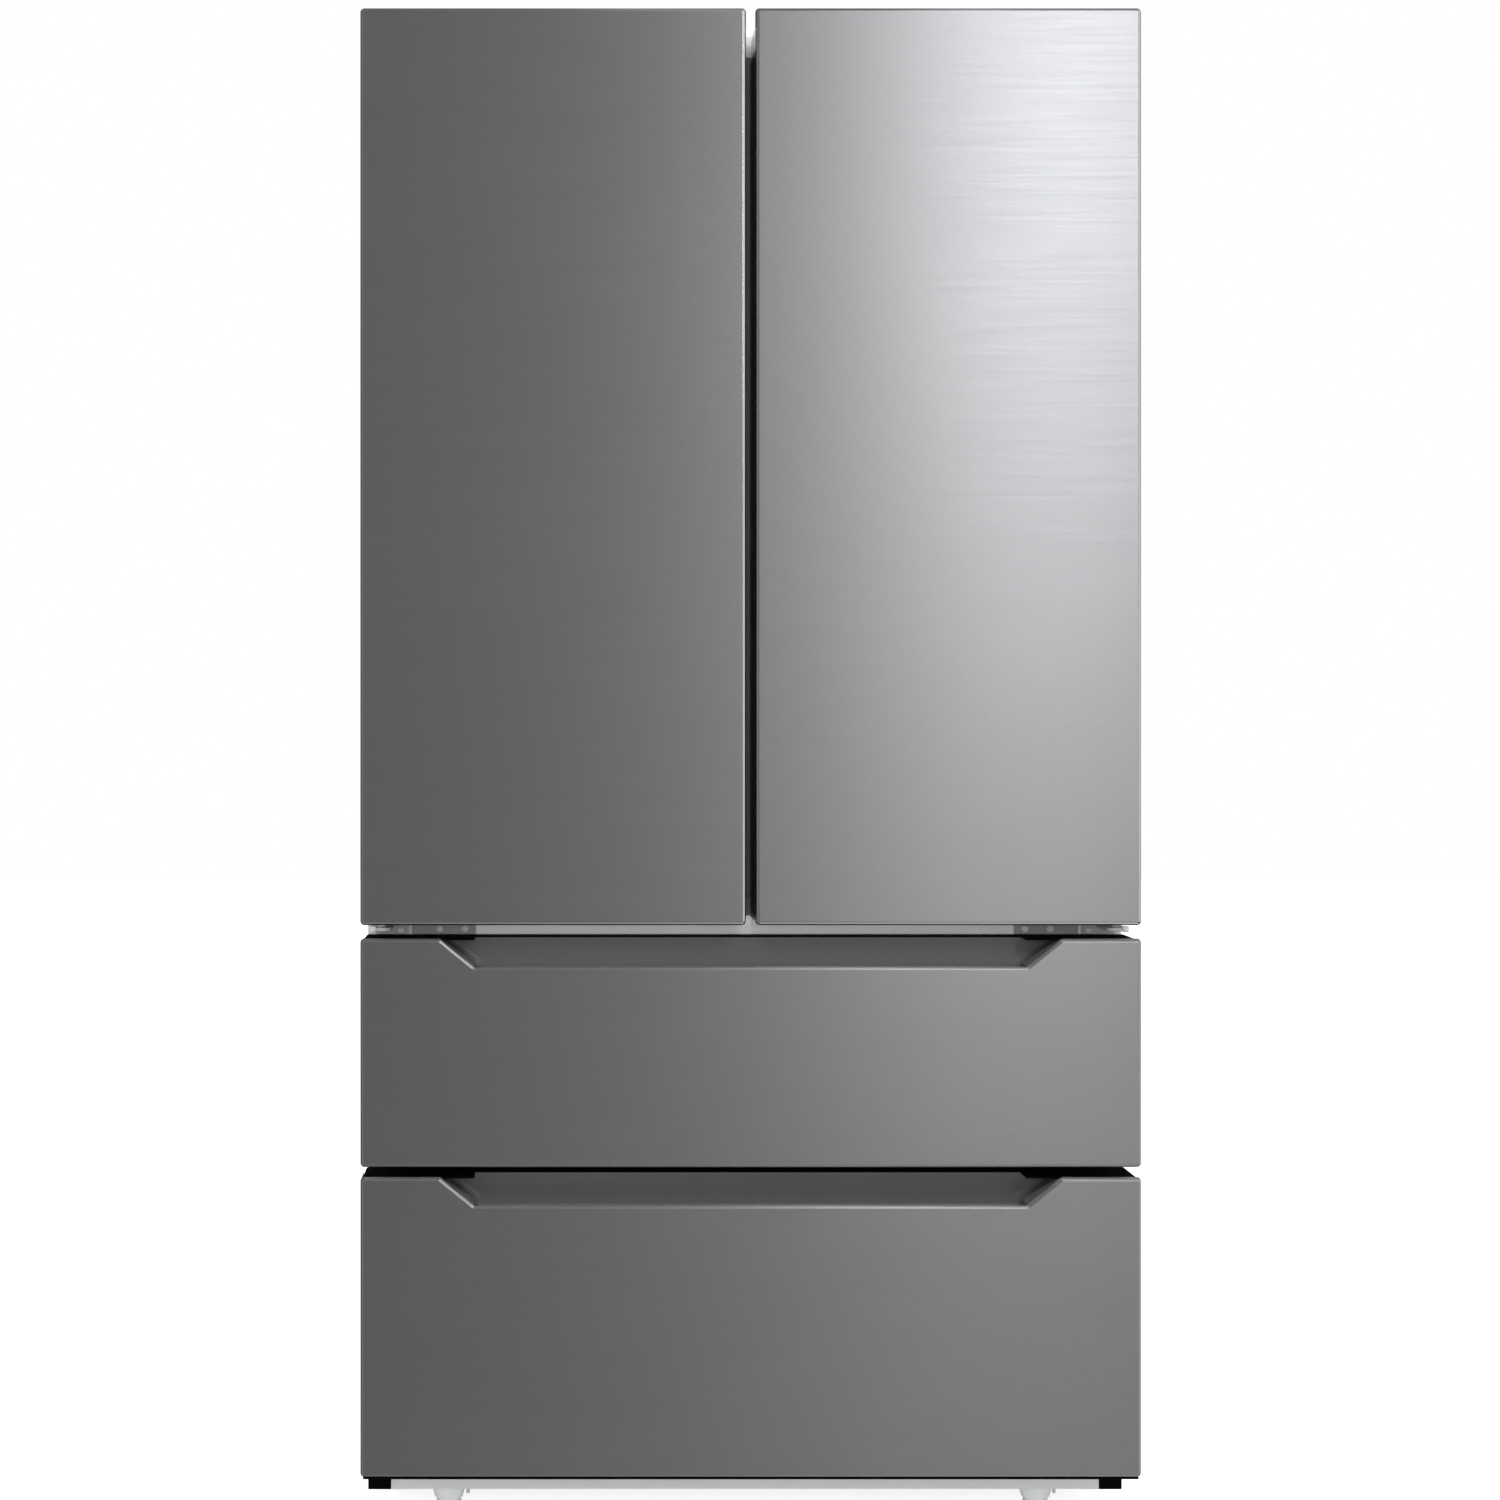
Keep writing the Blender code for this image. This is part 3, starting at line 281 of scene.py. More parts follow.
def soften(piece, width, smoothing, plain):
    """Joins a CAD mesh's triangles and rounds its edges. A plain mesh's faces are made whole first."""
    piece.modifiers.new("join_corners", "WELD").merge_threshold = 0.00002
    if plain:
        whole = piece.modifiers.new("whole_faces", "DECIMATE")
        whole.decimate_type = "DISSOLVE"
        whole.angle_limit = math.radians(0.5)
    edge = piece.modifiers.new("soft_edges", "BEVEL")
    edge.width = width
    edge.segments = 3
    edge.limit_method = "ANGLE"
    edge.angle_limit = math.radians(40)
    piece.modifiers.new("smooth_faces", "NODES").node_group = smoothing
    piece.modifiers.new("flat_faces_first", "WEIGHTED_NORMAL").keep_sharp = True


def paint_cad_nodes():
    """Gives each CAD node the material of its slot, and softens the edges of the ones that stay in view."""
    slots = {row["node"]: row["material_slot"] for row in frame["record"]["subparts"]}
    smoothing = node_group("smooth_faces", "GeometryNodeSetShadeSmooth")[0]
    widths = {
        "cabinet_shell": 0.0008,
        "rear_panel": 0.0004,
        "cross_rail": 0.0006,
        "drawer_divider_rail": 0.0006,
        "bottom_rail": 0.0006,
        "mullion": 0.0010,
        "fridge_liner": 0.0040,
        "freezer_liner": 0.0040,
        "left_door_core": 0.0035,
        "right_door_core": 0.0035,
        "upper_drawer_core": 0.0035,
        "lower_drawer_core": 0.0035,
        "ceiling_console": 0.0030,
        "air_duct_cover": 0.0010,
        "evaporator_cover": 0.0010,
        "machine_room_cover": 0.0006,
        "top_hinge_left": 0.0020,
        "top_hinge_right": 0.0020,
        "upper_drawer_frame": 0.0008,
        "lower_drawer_frame": 0.0008,
        "upper_drawer_sliders": 0.0006,
        "lower_drawer_sliders": 0.0006,
        "slide_track_left": 0.0006,
        "slide_track_right": 0.0006,
        "base_frame": 0.0005,
    }
    for node, piece in frame["nodes"].items():
        wanted = MAT[NODE_MATERIALS.get(node, slots[node])]
        piece.data.materials.clear()
        piece.data.materials.append(wanted)
        if node in DOOR_CORES:
            nudge(piece, "Y", DOOR_FACE + 0.0023, (0, CORE_SET_BACK, 0))
        if node == "bottom_rail":
            nudge(piece, "Z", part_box(node)[0].z + 0.001, (0, 0, RAIL_RAISED))
        if node in widths:
            soften(piece, widths[node], smoothing, node in DRAWER_CORES)


# ---------------------------------------------------------------- shapes

def piece_of(name, shape, material, body, replaces=(), smooth=30):
    """A piece for this bmesh, riding on a body."""
    bmesh.ops.recalc_face_normals(shape, faces=shape.faces)
    mesh = bpy.data.meshes.new(name)
    shape.to_mesh(mesh)
    shape.free()
    mesh.shade_smooth()
    mesh.set_sharp_from_angle(angle=math.radians(smooth))
    mesh.materials.append(MAT[material])
    made = bpy.data.objects.new(name, mesh)
    bpy.context.scene.collection.objects.link(made)
    level = made.modifiers.new("flat_faces_first", "WEIGHTED_NORMAL")
    level.keep_sharp = True
    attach(made, body)
    if replaces:
        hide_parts(*replaces)
    return made


def rounded_outline(corners, segments=6):
    """(point, outward normal) pairs round a counter-clockwise outline whose corners are (x, z, radius)."""
    made = []
    for i, (x, z, radius) in enumerate(corners):
        here = Vector((x, z))
        before = (Vector(corners[i - 1][:2]) - here).normalized()
        after = (Vector(corners[(i + 1) % len(corners)][:2]) - here).normalized()
        if radius == 0:
            along = (after - before).normalized()
            made.append((here, Vector((along.y, -along.x))))
            continue
        half = before.angle(after) / 2
        convex = before.x * after.y - before.y * after.x < 0
        centre = here + (before + after).normalized() * (radius / math.sin(half))
        start = here + before * (radius / math.tan(half)) - centre
        end = here + after * (radius / math.tan(half)) - centre
        first = math.atan2(start.y, start.x)
        turn = (math.atan2(end.y, end.x) - first + math.pi) % (2 * math.pi) - math.pi
        for k in range(segments + 1):
            angle = first + turn * k / segments
            out = Vector((math.cos(angle), math.sin(angle)))
            made.append((centre + out * radius, out if convex else -out))
    return made


# A door panel's material slots
FACE_SLOT, SIDE_SLOT, SHADE_BLACK_SLOT, RIM_SLOT = range(4)
# Edges nearer to x = 0 than this are the doors' free ones
NEAR_MIDDLE = 0.05


def rim_slot(point, step):
    """The material slot of this step of a door's rim: polished at its right and free edges and at the first
    steps of its bottom, which ends in near-black, a painted shadow line under the door."""
    p, n = point
    downward = n.y < -0.5
    if step == 0:
        return FACE_SLOT
    if n.x > 0.5 or abs(p.x) < NEAR_MIDDLE or (downward and step < 4):
        return RIM_SLOT
    return SHADE_BLACK_SLOT if downward else FACE_SLOT


def pan(outline, rim, lip, side_top, polished=False):
    """A folded sheet pan: a flat face, a rim that turns in stages, a lip all round, and deep sides that end
    at side_top. A polished one has rim_slot's materials on its rim."""
    side_return = 0.070
    edge_return = side_return + 0.0076
    shape = bmesh.new()

    def ring(inset, depth):
        return [
            shape.verts.new((p.x - n.x * inset, DOOR_FACE + depth, p.y - n.y * inset)) for p, n in outline
        ]

    rings = [ring(inset, depth) for inset, depth in rim] + [ring(0, lip)]
    shape.faces.new(rings[0])
    count = len(outline)
    for step, (front, back) in enumerate(zip(rings, rings[1:])):
        for i in range(count):
            j = (i + 1) % count
            face = shape.faces.new((front[i], front[j], back[j], back[i]))
            if polished:
                face.material_index = min(rim_slot(outline[i], step), rim_slot(outline[j], step))
    fold = ring(0.0013, lip)
    deep = ring(0, side_return)
    deepest = ring(0, edge_return)
    for i in range(count):
        j = (i + 1) % count
        (p, n), (q, m) = outline[i], outline[j]
        upright = abs(n.x) > 0.999 and abs(m.x) > 0.999
        if upright and max(p.y, q.y) < side_top + 0.0001:
            # The sides at the doors' free edges are near-black: painted shade for the dark gap between the
            # doors
            at_middle = min(abs(p.x), abs(q.x)) < NEAR_MIDDLE
            slot, back = (SHADE_BLACK_SLOT, deepest) if at_middle else (SIDE_SLOT, deep)
            shape.faces.new((rings[-1][i], rings[-1][j], back[j], back[i])).material_index = slot
        else:
            shape.faces.new((rings[-1][i], rings[-1][j], fold[j], fold[i]))
    bmesh.ops.delete(shape, geom=[v for v in shape.verts if not v.link_faces], context="VERTS")
    return shape


def mitred(low, high):
    """A rectangle's outline with square corners, for swept."""
    made = []
    for u, v in ((-1, -1), (1, -1), (1, 1), (-1, 1)):
        corner = Vector((low[0] if u < 0 else high[0], low[1] if v < 0 else high[1]))
        made.append((corner, Vector((u, v))))
    return made


PLACES = {"y": lambda u, v, height: (u, height, v), "z": lambda u, v, height: (u, v, height)}


def swept(outline, profile, axis, closed=False, ends=(True, True)):
    """An outline repeated at each (inset, height) of a profile, and joined up. Heights run along y or z. ends
    says whether the first and the last outline are filled."""
    shape = bmesh.new()
    place = PLACES[axis]
    rings = [
        [shape.verts.new(place(p.x - n.x * inset, p.y - n.y * inset, height)) for p, n in outline]
        for inset, height in profile
    ]
    pairs = list(zip(rings, rings[1:])) + ([(rings[-1], rings[0])] if closed else [])
    for one, two in pairs:
        for i in range(len(outline)):
            j = (i + 1) % len(outline)
            shape.faces.new((one[i], one[j], two[j], two[i]))
    if not closed:
        for wanted, ring in zip(ends, (rings[0], rings[-1])):
            if wanted:
                shape.faces.new(ring)
    return shape


def round_off(shape, edges, radius, segments):
    bmesh.ops.bevel(shape, geom=edges, offset=radius, segments=segments, profile=0.5, affect="EDGES")


def rounded_box(low, high, radius, segments=3):
    """A box with its edges rounded."""
    shape = bmesh.new()
    bmesh.ops.create_cube(shape, size=1.0)
    low, high = Vector(low), Vector(high)
    bmesh.ops.scale(shape, vec=high - low, verts=shape.verts)
    bmesh.ops.translate(shape, vec=(low + high) / 2, verts=shape.verts)
    round_off(shape, shape.edges[:], radius, segments)
    return shape


def lathe(profile, centre, steps=32):
    """A turned solid, upright. The profile is (radius, height) from one end to the other."""
    shape = bmesh.new()
    rings = []
    for radius, height in profile:
        if radius == 0:
            rings.append([shape.verts.new((0, 0, height))])
            continue
        turns = [2 * math.pi * k / steps for k in range(steps)]
        rings.append([shape.verts.new((radius * math.cos(a), radius * math.sin(a), height)) for a in turns])
    for one, two in zip(rings, rings[1:]):
        for k in range(steps):
            m = (k + 1) % steps
            if len(one) == 1:
                shape.faces.new((one[0], two[k], two[m]))
            elif len(two) == 1:
                shape.faces.new((one[k], two[0], one[m]))
            else:
                shape.faces.new((one[k], two[k], two[m], one[m]))
    bmesh.ops.translate(shape, vec=centre, verts=shape.verts)
    return shape


def extruded(outline, low, high, axis):
    """A flat outline, as (u, v) points, extruded along y or z."""
    shape = bmesh.new()
    place = PLACES[axis]
    near = [shape.verts.new(place(u, v, low)) for u, v in outline]
    far = [shape.verts.new(place(u, v, high)) for u, v in outline]
    shape.faces.new(near)
    shape.faces.new(list(reversed(far)))
    for i in range(len(outline)):
        j = (i + 1) % len(outline)
        shape.faces.new((near[i], near[j], far[j], far[i]))
    return shape


def add(shape, other):
    """Puts another bmesh into this one."""
    spare = bpy.data.meshes.new("spare")
    other.to_mesh(spare)
    other.free()
    shape.from_mesh(spare)
    bpy.data.meshes.remove(spare)
    return shape


def carved(shape, tool):
    """The first bmesh less the second."""
    objects = []
    for name, part in (("whole", shape), ("tool", tool)):
        bmesh.ops.recalc_face_normals(part, faces=part.faces)
        mesh = bpy.data.meshes.new(name)
        part.to_mesh(mesh)
        part.free()
        objects.append(bpy.data.objects.new(name, mesh))
        bpy.context.scene.collection.objects.link(objects[-1])
    whole, cutter = objects
    step = whole.modifiers.new("cut", "BOOLEAN")
    step.object = cutter
    step.solver = "EXACT"
    bpy.context.view_layer.update()
    made = bmesh.new()
    result = bpy.data.meshes.new_from_object(whole.evaluated_get(bpy.context.evaluated_depsgraph_get()))
    made.from_mesh(result)
    for thing in objects:
        mesh = thing.data
        bpy.data.objects.remove(thing)
        bpy.data.meshes.remove(mesh)
    bpy.data.meshes.remove(result)
    return made


# ---------------------------------------------------------------- outside: doors and drawers

# The notch over a drawer's grip: its depth, and half its width at the top and at the bottom
GRIP_DROP = 0.032
GRIP_TOP_HALF, GRIP_BOTTOM_HALF = 0.360, 0.3205
# Radius of the panels' corners
CORNER = 0.0046
RIM = (  # (inset from the outline, depth behind the face)
    (0.0045, 0.0),
    (0.0040, 0.0),
    (0.0036, 0.00010),
    (0.0032, 0.00030),
    (0.0017, 0.00140),
    (0.0013, 0.00180),
    (0.0010, 0.00235),
    (0.0004, 0.00370),
    (0.0001, 0.00460),
    (0.0, 0.0049),
)


def make_door_skins():
    side_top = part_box("left_door_skin")[1].z - 0.046
    for side, _ in SIDES:
        low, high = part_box(f"{side}_door_skin")
        corners = [
            (low.x, low.z, CORNER),
            (high.x, low.z, CORNER),
            (high.x, side_top, 0),
            (high.x, high.z, CORNER),
            (low.x, high.z, CORNER),
            (low.x, side_top, 0),
        ]
        shape = pan(rounded_outline(corners), RIM, 0.010, side_top, polished=True)
        name = f"{side}_door_panel"
        made = piece_of(name, shape, "stainless", f"{side}_door", (f"{side}_door_skin",))
        for material in ("side_steel", "painted_shade_black", "rim_steel"):
            made.data.materials.append(MAT[material])


def notch(top, outer, inner):
    """The grip notch's corners, from right to left, with the radii of its outer and inner ones."""
    return [
        (GRIP_TOP_HALF, top, outer),
        (GRIP_BOTTOM_HALF, top - GRIP_DROP, inner),
        (-GRIP_BOTTOM_HALF, top - GRIP_DROP, inner),
        (-GRIP_TOP_HALF, top, outer),
    ]


def make_drawer_fronts():
    for which in ("upper", "lower"):
        low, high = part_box(f"{which}_drawer_skin")
        corners = [
            (low.x, low.z, CORNER),
            (high.x, low.z, CORNER),
            (high.x, high.z, CORNER),
            *notch(high.z, 0.006, 0.003),
            (low.x, high.z, CORNER),
        ]
        shape = pan(rounded_outline(corners), RIM, 0.005, high.z)
        body = f"{which}_drawer"
        skin = (f"{which}_drawer_skin",)
        made = piece_of(f"{which}_drawer_panel", shape, "stainless", body, skin)
        made.data.materials.append(MAT["side_steel"])
        make_grip(which, body, high.z)
        if which == "lower":
            # A near-black strip under the lower drawer: a painted shadow line along its bottom edge
            shadow_strip = rounded_box(
                (low.x + 0.003, DOOR_FACE + 0.0012, low.z - 0.0018),
                (high.x - 0.003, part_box("lower_drawer_skin")[1].y, low.z + 0.0004),
                0.0008,
                2,
            )
            piece_of("lower_drawer_shadow_strip", shadow_strip, "cap_plastic", body)


def make_grip(which, body, top):
    """The recessed grip: a dark pocket with a coved back, and the black cap along the drawer's top."""
    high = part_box(f"{which}_drawer_grip")[1]
    floor = top - 0.046
    front = DOOR_FACE + 0.0053
    back = DOOR_FACE + 0.048
    above = 0.012
    half_above = GRIP_TOP_HALF + (GRIP_TOP_HALF - GRIP_BOTTOM_HALF) / GRIP_DROP * above
    outline = rounded_outline(
        [
            (-GRIP_BOTTOM_HALF, floor, 0.0095),
            (GRIP_BOTTOM_HALF, floor, 0.0095),
            (GRIP_BOTTOM_HALF, top - GRIP_DROP, 0.003),
            (half_above, top + above, 0),
            (-half_above, top + above, 0),
            (-GRIP_BOTTOM_HALF, top - GRIP_DROP, 0.003),
        ],
        5,
    )
    cove, cove_start, cove_steps = 0.009, 0.0390, 8
    steps = [(-0.0012, 0.0051), (0, 0.0051), (0, cove_start)]
    for k in range(1, cove_steps + 1):
        turn = math.pi / 2 * k / cove_steps
        steps.append((cove * (1 - math.cos(turn)), cove_start + cove * math.sin(turn)))
    shape = swept(outline, [(inset, DOOR_FACE + depth) for inset, depth in steps], "y", ends=(False, True))
    bmesh.ops.bisect_plane(
        shape,
        geom=[*shape.verts, *shape.edges, *shape.faces],
        plane_co=(0, 0, high.z - 0.0011),
        plane_no=(0, 0, 1),
        clear_outer=True,
    )
    node = f"{which}_drawer_grip"
    piece_of(f"{which}_grip_pocket", shape, "grip_plastic", body, (node,))

    cap_bottom, web_bottom = high.z - 0.0044, high.z - 0.0010
    cap = bmesh.new()
    for sign in (-1, 1):
        outer, inner = sign * (high.x - 0.0002), sign * (GRIP_TOP_HALF + 0.0005)
        corners = [(inner, cap_bottom, 0), (outer, cap_bottom, 0)]
        corners += [(outer, high.z, 0.0040), (inner, high.z, 0)]
        if sign < 0:
            corners.reverse()
        add(cap, extruded([(p.x, p.y) for p, n in rounded_outline(corners)], front, high.y, "y"))
        edge = sign * GRIP_BOTTOM_HALF
        plan = [(inner, front), (edge, front + 0.004), (edge, back - 0.020), (edge, high.y), (inner, high.y)]
        add(cap, extruded(plan, web_bottom, high.z, "z"))
    piece_of(f"{which}_top_cap", cap, "cap_plastic", body)
    bridge = rounded_box(
        (-GRIP_BOTTOM_HALF, back - 0.0008, web_bottom), (GRIP_BOTTOM_HALF, high.y, high.z), 0.0004, 2
    )
    piece_of(f"{which}_top_bridge", bridge, "cap_plastic", body)


# ---------------------------------------------------------------- outside: cabinet

def screw_head(name, centre, radius, axis="-y"):
    """A domed head with a cross recess, on the cabinet."""
    head = lathe(
        [
            (0, 0.42 * radius),
            (0.35 * radius, 0.40 * radius),
            (0.70 * radius, 0.30 * radius),
            (0.93 * radius, 0.13 * radius),
            (radius, 0.0),
            (radius, -0.15 * radius),
            (0, -0.15 * radius),
        ],
        (0, 0, 0),
        steps=20,
    )
    arm, half = 0.55 * radius, 0.11 * radius
    plus = [(half, half), (half, arm), (-half, arm), (-half, half), (-arm, half), (-arm, -half)]
    plus += [(-half, -half), (-half, -arm), (half, -arm), (half, -half), (arm, -half), (arm, half)]
    cross = extruded(plus, 0.12 * radius, radius, "z")
    shape = carved(head, cross)
    turn = Matrix.Rotation({"-y": math.pi / 2, "y": -math.pi / 2}[axis], 3, "X")
    bmesh.ops.rotate(shape, cent=(0, 0, 0), matrix=turn, verts=shape.verts)
    bmesh.ops.translate(shape, vec=centre, verts=shape.verts)
    return piece_of(name, shape, "screw_steel", "cabinet")


def make_mullion_guide():
    """The dark block on the cross rail that the mullion's lower end rests against."""
    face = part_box("cross_rail")[0].y
    shape = rounded_box((-0.0092, face - 0.0030, 0.7165), (0.0092, face + 0.004, 0.7384), 0.0008, 2)
    piece_of("mullion_guide", shape, "mullion_plastic", "cabinet")


def make_center_hinge(side, sign):
    """The bracket under a door: a steel plate, and a plated arm that carries the pin, with their screws."""
    node = "center_hinge_" + side
    low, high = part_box(node)
    axis = Vector(JOINTS[f"{side}_door_hinge"]["pos_m"])
    plate_face, plate_top = low.y + 0.0633, 0.7118
    arm_bottom, arm_top, arm_end = 0.7030, 0.7070, 0.0120

    def plate(near, far):
        """A plate on the cabinet's front, between two distances from the middle."""
        x = sorted((sign * near, sign * far))
        return rounded_box((x[0], plate_face, low.z), (x[1], high.y, plate_top), 0.0006, 2)

    piece_of(f"hinge_plate_{side}", plate(0.3205, 0.3968), "hinge_steel", "cabinet", (node,))

    arm = plate(0.4025, 0.4395)
    turns = [math.radians(angle) for angle in range(180, 361, 12)]
    outline = [(axis.x + arm_end * math.cos(a), axis.y + arm_end * math.sin(a)) for a in turns]
    outline += [(axis.x + arm_end, high.y - 0.001), (axis.x - arm_end, high.y - 0.001)]
    flat = extruded(outline, arm_bottom, arm_top, "z")
    level = [e for e in flat.edges if e.verts[0].co.z == e.verts[1].co.z]
    rims = [e for e in level if max(v.co.y for v in e.verts) < high.y - 0.002]
    round_off(flat, rims, 0.0006, 2)
    add(arm, flat)
    pin = [(0, high.z), (0.0038, high.z), (0.005, high.z - 0.0012), (0.005, 0.7072), (0, 0.7072)]
    add(arm, lathe(pin, (axis.x, axis.y, 0)))
    piece_of(f"hinge_arm_{side}", arm, "hinge_zinc", "cabinet")
    # A white plastic disc at the arm's outer end: a painted highlight, standing in for the glint on the arm's
    # rounded end
    highlight_disc = [(0, 0.7088), (0.0034, 0.7088), (0.0040, 0.7082), (0.0040, 0.7030), (0.0034, 0.7024), (0, 0.7024)]
    place = (axis.x + sign * 0.0086, axis.y - 0.0100, 0)
    piece_of(f"hinge_stop_{side}", lathe(highlight_disc, place, steps=20), "white_plastic", "cabinet")
    screws = ((0.3335, 0.7005, 0.0042), (0.3635, 0.7005, 0.0042), (0.4095, 0.6985, 0.0036))
    for i, (distance, z, radius) in enumerate(screws):
        screw_head(f"hinge_screw_{side}_{i}", (sign * distance, plate_face - 0.0002, z), radius)


def make_cabinet_details():
    """Black corner caps, the hinge brackets, the feet and the screw ends under the rail."""
    rail_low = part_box("bottom_rail")[0]
    for side, sign in SIDES:
        x = sorted((sign * 0.4215, sign * 0.4486))
        shape = rounded_box(
            (x[0], rail_low.y - 0.0012, rail_low.z + 0.0012), (x[1], rail_low.y + 0.012, 0.0722), 0.0010
        )
        piece_of(f"corner_cap_{side}", shape, "cap_plastic", "cabinet")

        make_center_hinge(side, sign)

        low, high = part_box("front_foot_" + side)
        middle = (low + high) / 2
        radius = (high.x - low.x) / 2
        foot = lathe(
            [
                (0, 0.0315),
                (radius * 1.05, 0.0315),
                (radius * 1.11, 0.0308),
                (radius * 1.12, 0.0295),
                (radius * 1.10, 0.0235),
                (radius * 0.930, 0.0128),
                (radius * 0.870, 0.0122),
                (radius * 0.800, 0.0096),
                (radius * 0.790, 0.0088),
                (radius * 0.815, 0.0082),
                (radius * 0.830, 0.0075),
                (radius * 0.815, 0.0016),
                (radius * 0.770, 0.0003),
                (radius * 0.740, 0.0),
                (0, 0.0),
            ],
            (middle.x, middle.y, 0),
            steps=48,
        )
        stem = [(0, high.z), (0.0045, high.z), (0.005, high.z - 0.001), (0.005, 0.030), (0, 0.030)]
        add(foot, lathe(stem, (middle.x, middle.y, 0), steps=20))
        body = "front_foot_" + side
        piece_of(f"levelling_foot_{side}", foot, "foot_plastic", body, (body,))

        screw_x = {"left": -0.330, "right": 0.369}[side]
        screw_end = [(0, 0.0325), (0.0022, 0.0325), (0.0022, 0.0280), (0.0012, 0.0268), (0, 0.0268)]
        shape = lathe(screw_end, (screw_x, rail_low.y + 0.006, 0), steps=16)
        piece_of(f"rail_screw_end_{side}", shape, "hinge_steel", "cabinet")


# ---------------------------------------------------------------- inside

def make_gasket(node, body):
    """A magnetic gasket with welded corners: a foot on the door, a folded bellows and the magnet's sleeve."""
    low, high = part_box(node)
    foot, face = low.y, high.y
    profile = [
        (0.0002, foot),
        (0.0158, foot),
        (0.0160, foot + 0.0012),
        (0.0138, foot + 0.0022),
        (0.0118, foot + 0.0036),
        (0.0120, foot + 0.0046),
        (0.0150, foot + 0.0060),
        (0.0158, foot + 0.0072),
        (0.0158, face - 0.0012),
        (0.0148, face - 0.0002),
        (0.0135, face),
        (0.0035, face),
        (0.0018, face - 0.0004),
        (0.0012, face - 0.0016),
        (0.0014, face - 0.0030),
        (0.0040, foot + 0.0056),
        (0.0042, foot + 0.0042),
        (0.0012, foot + 0.0026),
        (0.0, foot + 0.0014),
    ]
    shape = swept(mitred((low.x, low.z), (high.x, high.z)), profile, "y", closed=True)
    piece_of(node + "_sleeve", shape, "gasket_rubber", body, (node,), smooth=50)


def arc(centre, radius, first, last, steps=5):
    """Points of an arc, from one angle in degrees to another."""
    turns = [math.radians(first + (last - first) * k / steps) for k in range(steps + 1)]
    return [(centre[0] + radius * math.cos(a), centre[1] + radius * math.sin(a)) for a in turns]


def tray(low, high, wall, draft=0.006, corner=0.022, foot=0.012, lip=0.0022):
    """A moulded tray: drafted walls, rounded corners and a rolled lip. foot is its bottom edge's radius."""
    outline = [
        (low.x, low.y, corner),
        (high.x, low.y, corner),
        (high.x, high.y, corner),
        (low.x, high.y, corner),
    ]
    profile = arc((draft + foot * 0.75, low.z + foot), foot, 270, 180)
    profile = [(inset if k else corner * 0.93, height) for k, (inset, height) in enumerate(profile)]
    profile += [(lip + 0.0004, high.z - 0.0110), (lip, high.z - 0.0090), (0.0004, high.z - 0.0082)]
    profile += [(0.0, high.z - 0.0076), (0.0, high.z - 0.0014), (0.0004, high.z - 0.0004), (0.0014, high.z)]
    rim = lip + wall
    profile += [(rim - 0.0008, high.z), (rim, high.z - 0.0006), (rim + 0.0002, high.z - 0.0020)]
    inner = foot - wall
    profile += arc((draft + foot * 0.75, low.z + foot), inner, 180, 270)
    profile[-1] = (corner * 0.93, low.z + wall)
    return swept(rounded_outline(outline), profile, "z")


def make_bins():
    """A clear tray with a plain band across its front for each of the six door bins."""
    for side, _ in SIDES:
        body = f"{side}_door"
        for level in ("bottom", "middle", "top"):
            node = f"{side}_door_bin_{level}"
            low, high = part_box(node)
            shape = tray(low, high, 0.0028, 0.004, 0.018)
            piece_of(f"{node}_tray", shape, "clear_plastic", body, (node,))
            band = rounded_box(
                (low.x + 0.019, high.y - 0.0030, high.z - 0.034),
                (high.x - 0.019, high.y - 0.0004, high.z - 0.014),
                0.0010,
            )
            piece_of(f"{node}_band", band, "trim_plastic", body)


def make_shelf(node):
    """A pane of safety glass in a moulded frame."""
    low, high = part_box(node)
    width, bottom, top = 0.014, low.z, high.z
    profile = [
        (0.0, bottom + 0.0015),
        (0.0005, bottom + 0.0004),
        (0.0016, bottom),
        (width - 0.001, bottom),
        (width, bottom + 0.001),
        (width, top - 0.0018),
        (width - 0.0006, top - 0.0006),
        (width - 0.0018, top),
        (0.0030, top),
        (0.0010, top - 0.0009),
        (0.0, top - 0.0030),
    ]
    frame_shape = swept(mitred((low.x, low.y), (high.x, high.y)), profile, "z", closed=True)
    piece_of(node + "_frame", frame_shape, "trim_plastic", "cabinet")
    edge = width - 0.002
    pane = rounded_box(
        (low.x + edge, low.y + edge, top - 0.0062), (high.x - edge, high.y - edge, top - 0.0022), 0.0006, 2
    )
    piece_of(node + "_pane", pane, "glass_shelf", "cabinet", (node,))


def make_inside():
    """Gaskets, crispers, baskets, bins, shelves and the lamp's lens."""
    for side, _ in SIDES:
        make_gasket(f"{side}_door_gasket", f"{side}_door")
        body = "crisper_" + side
        low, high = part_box(body)
        shape = tray(low, high, 0.0030)
        piece_of(f"crisper_tray_{side}", shape, "clear_plastic", body, (body,))
        pull = rounded_box(
            (low.x + 0.060, low.y - 0.0085, high.z - 0.030),
            (high.x - 0.060, low.y + 0.0035, high.z - 0.010),
            0.0035,
        )
        piece_of(f"crisper_pull_{side}", pull, "trim_plastic", body)
    for which in ("upper", "lower"):
        body = which + "_drawer"
        make_gasket(body + "_gasket", body)
        low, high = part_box(body + "_basket")
        shape = tray(low, high, 0.0034)
        piece_of(body + "_tray", shape, "clear_plastic", body, (body + "_basket",))
    make_bins()
    for node in ("shelf_upper_left", "shelf_upper_right", "shelf_lower", "crisper_cover"):
        make_shelf(node)
    lens = rounded_box((-0.130, -0.198, 1.7124), (0.130, -0.092, 1.7153), 0.0014)
    piece_of("ceiling_lamp_lens", lens, "lamp_lens", "cabinet")


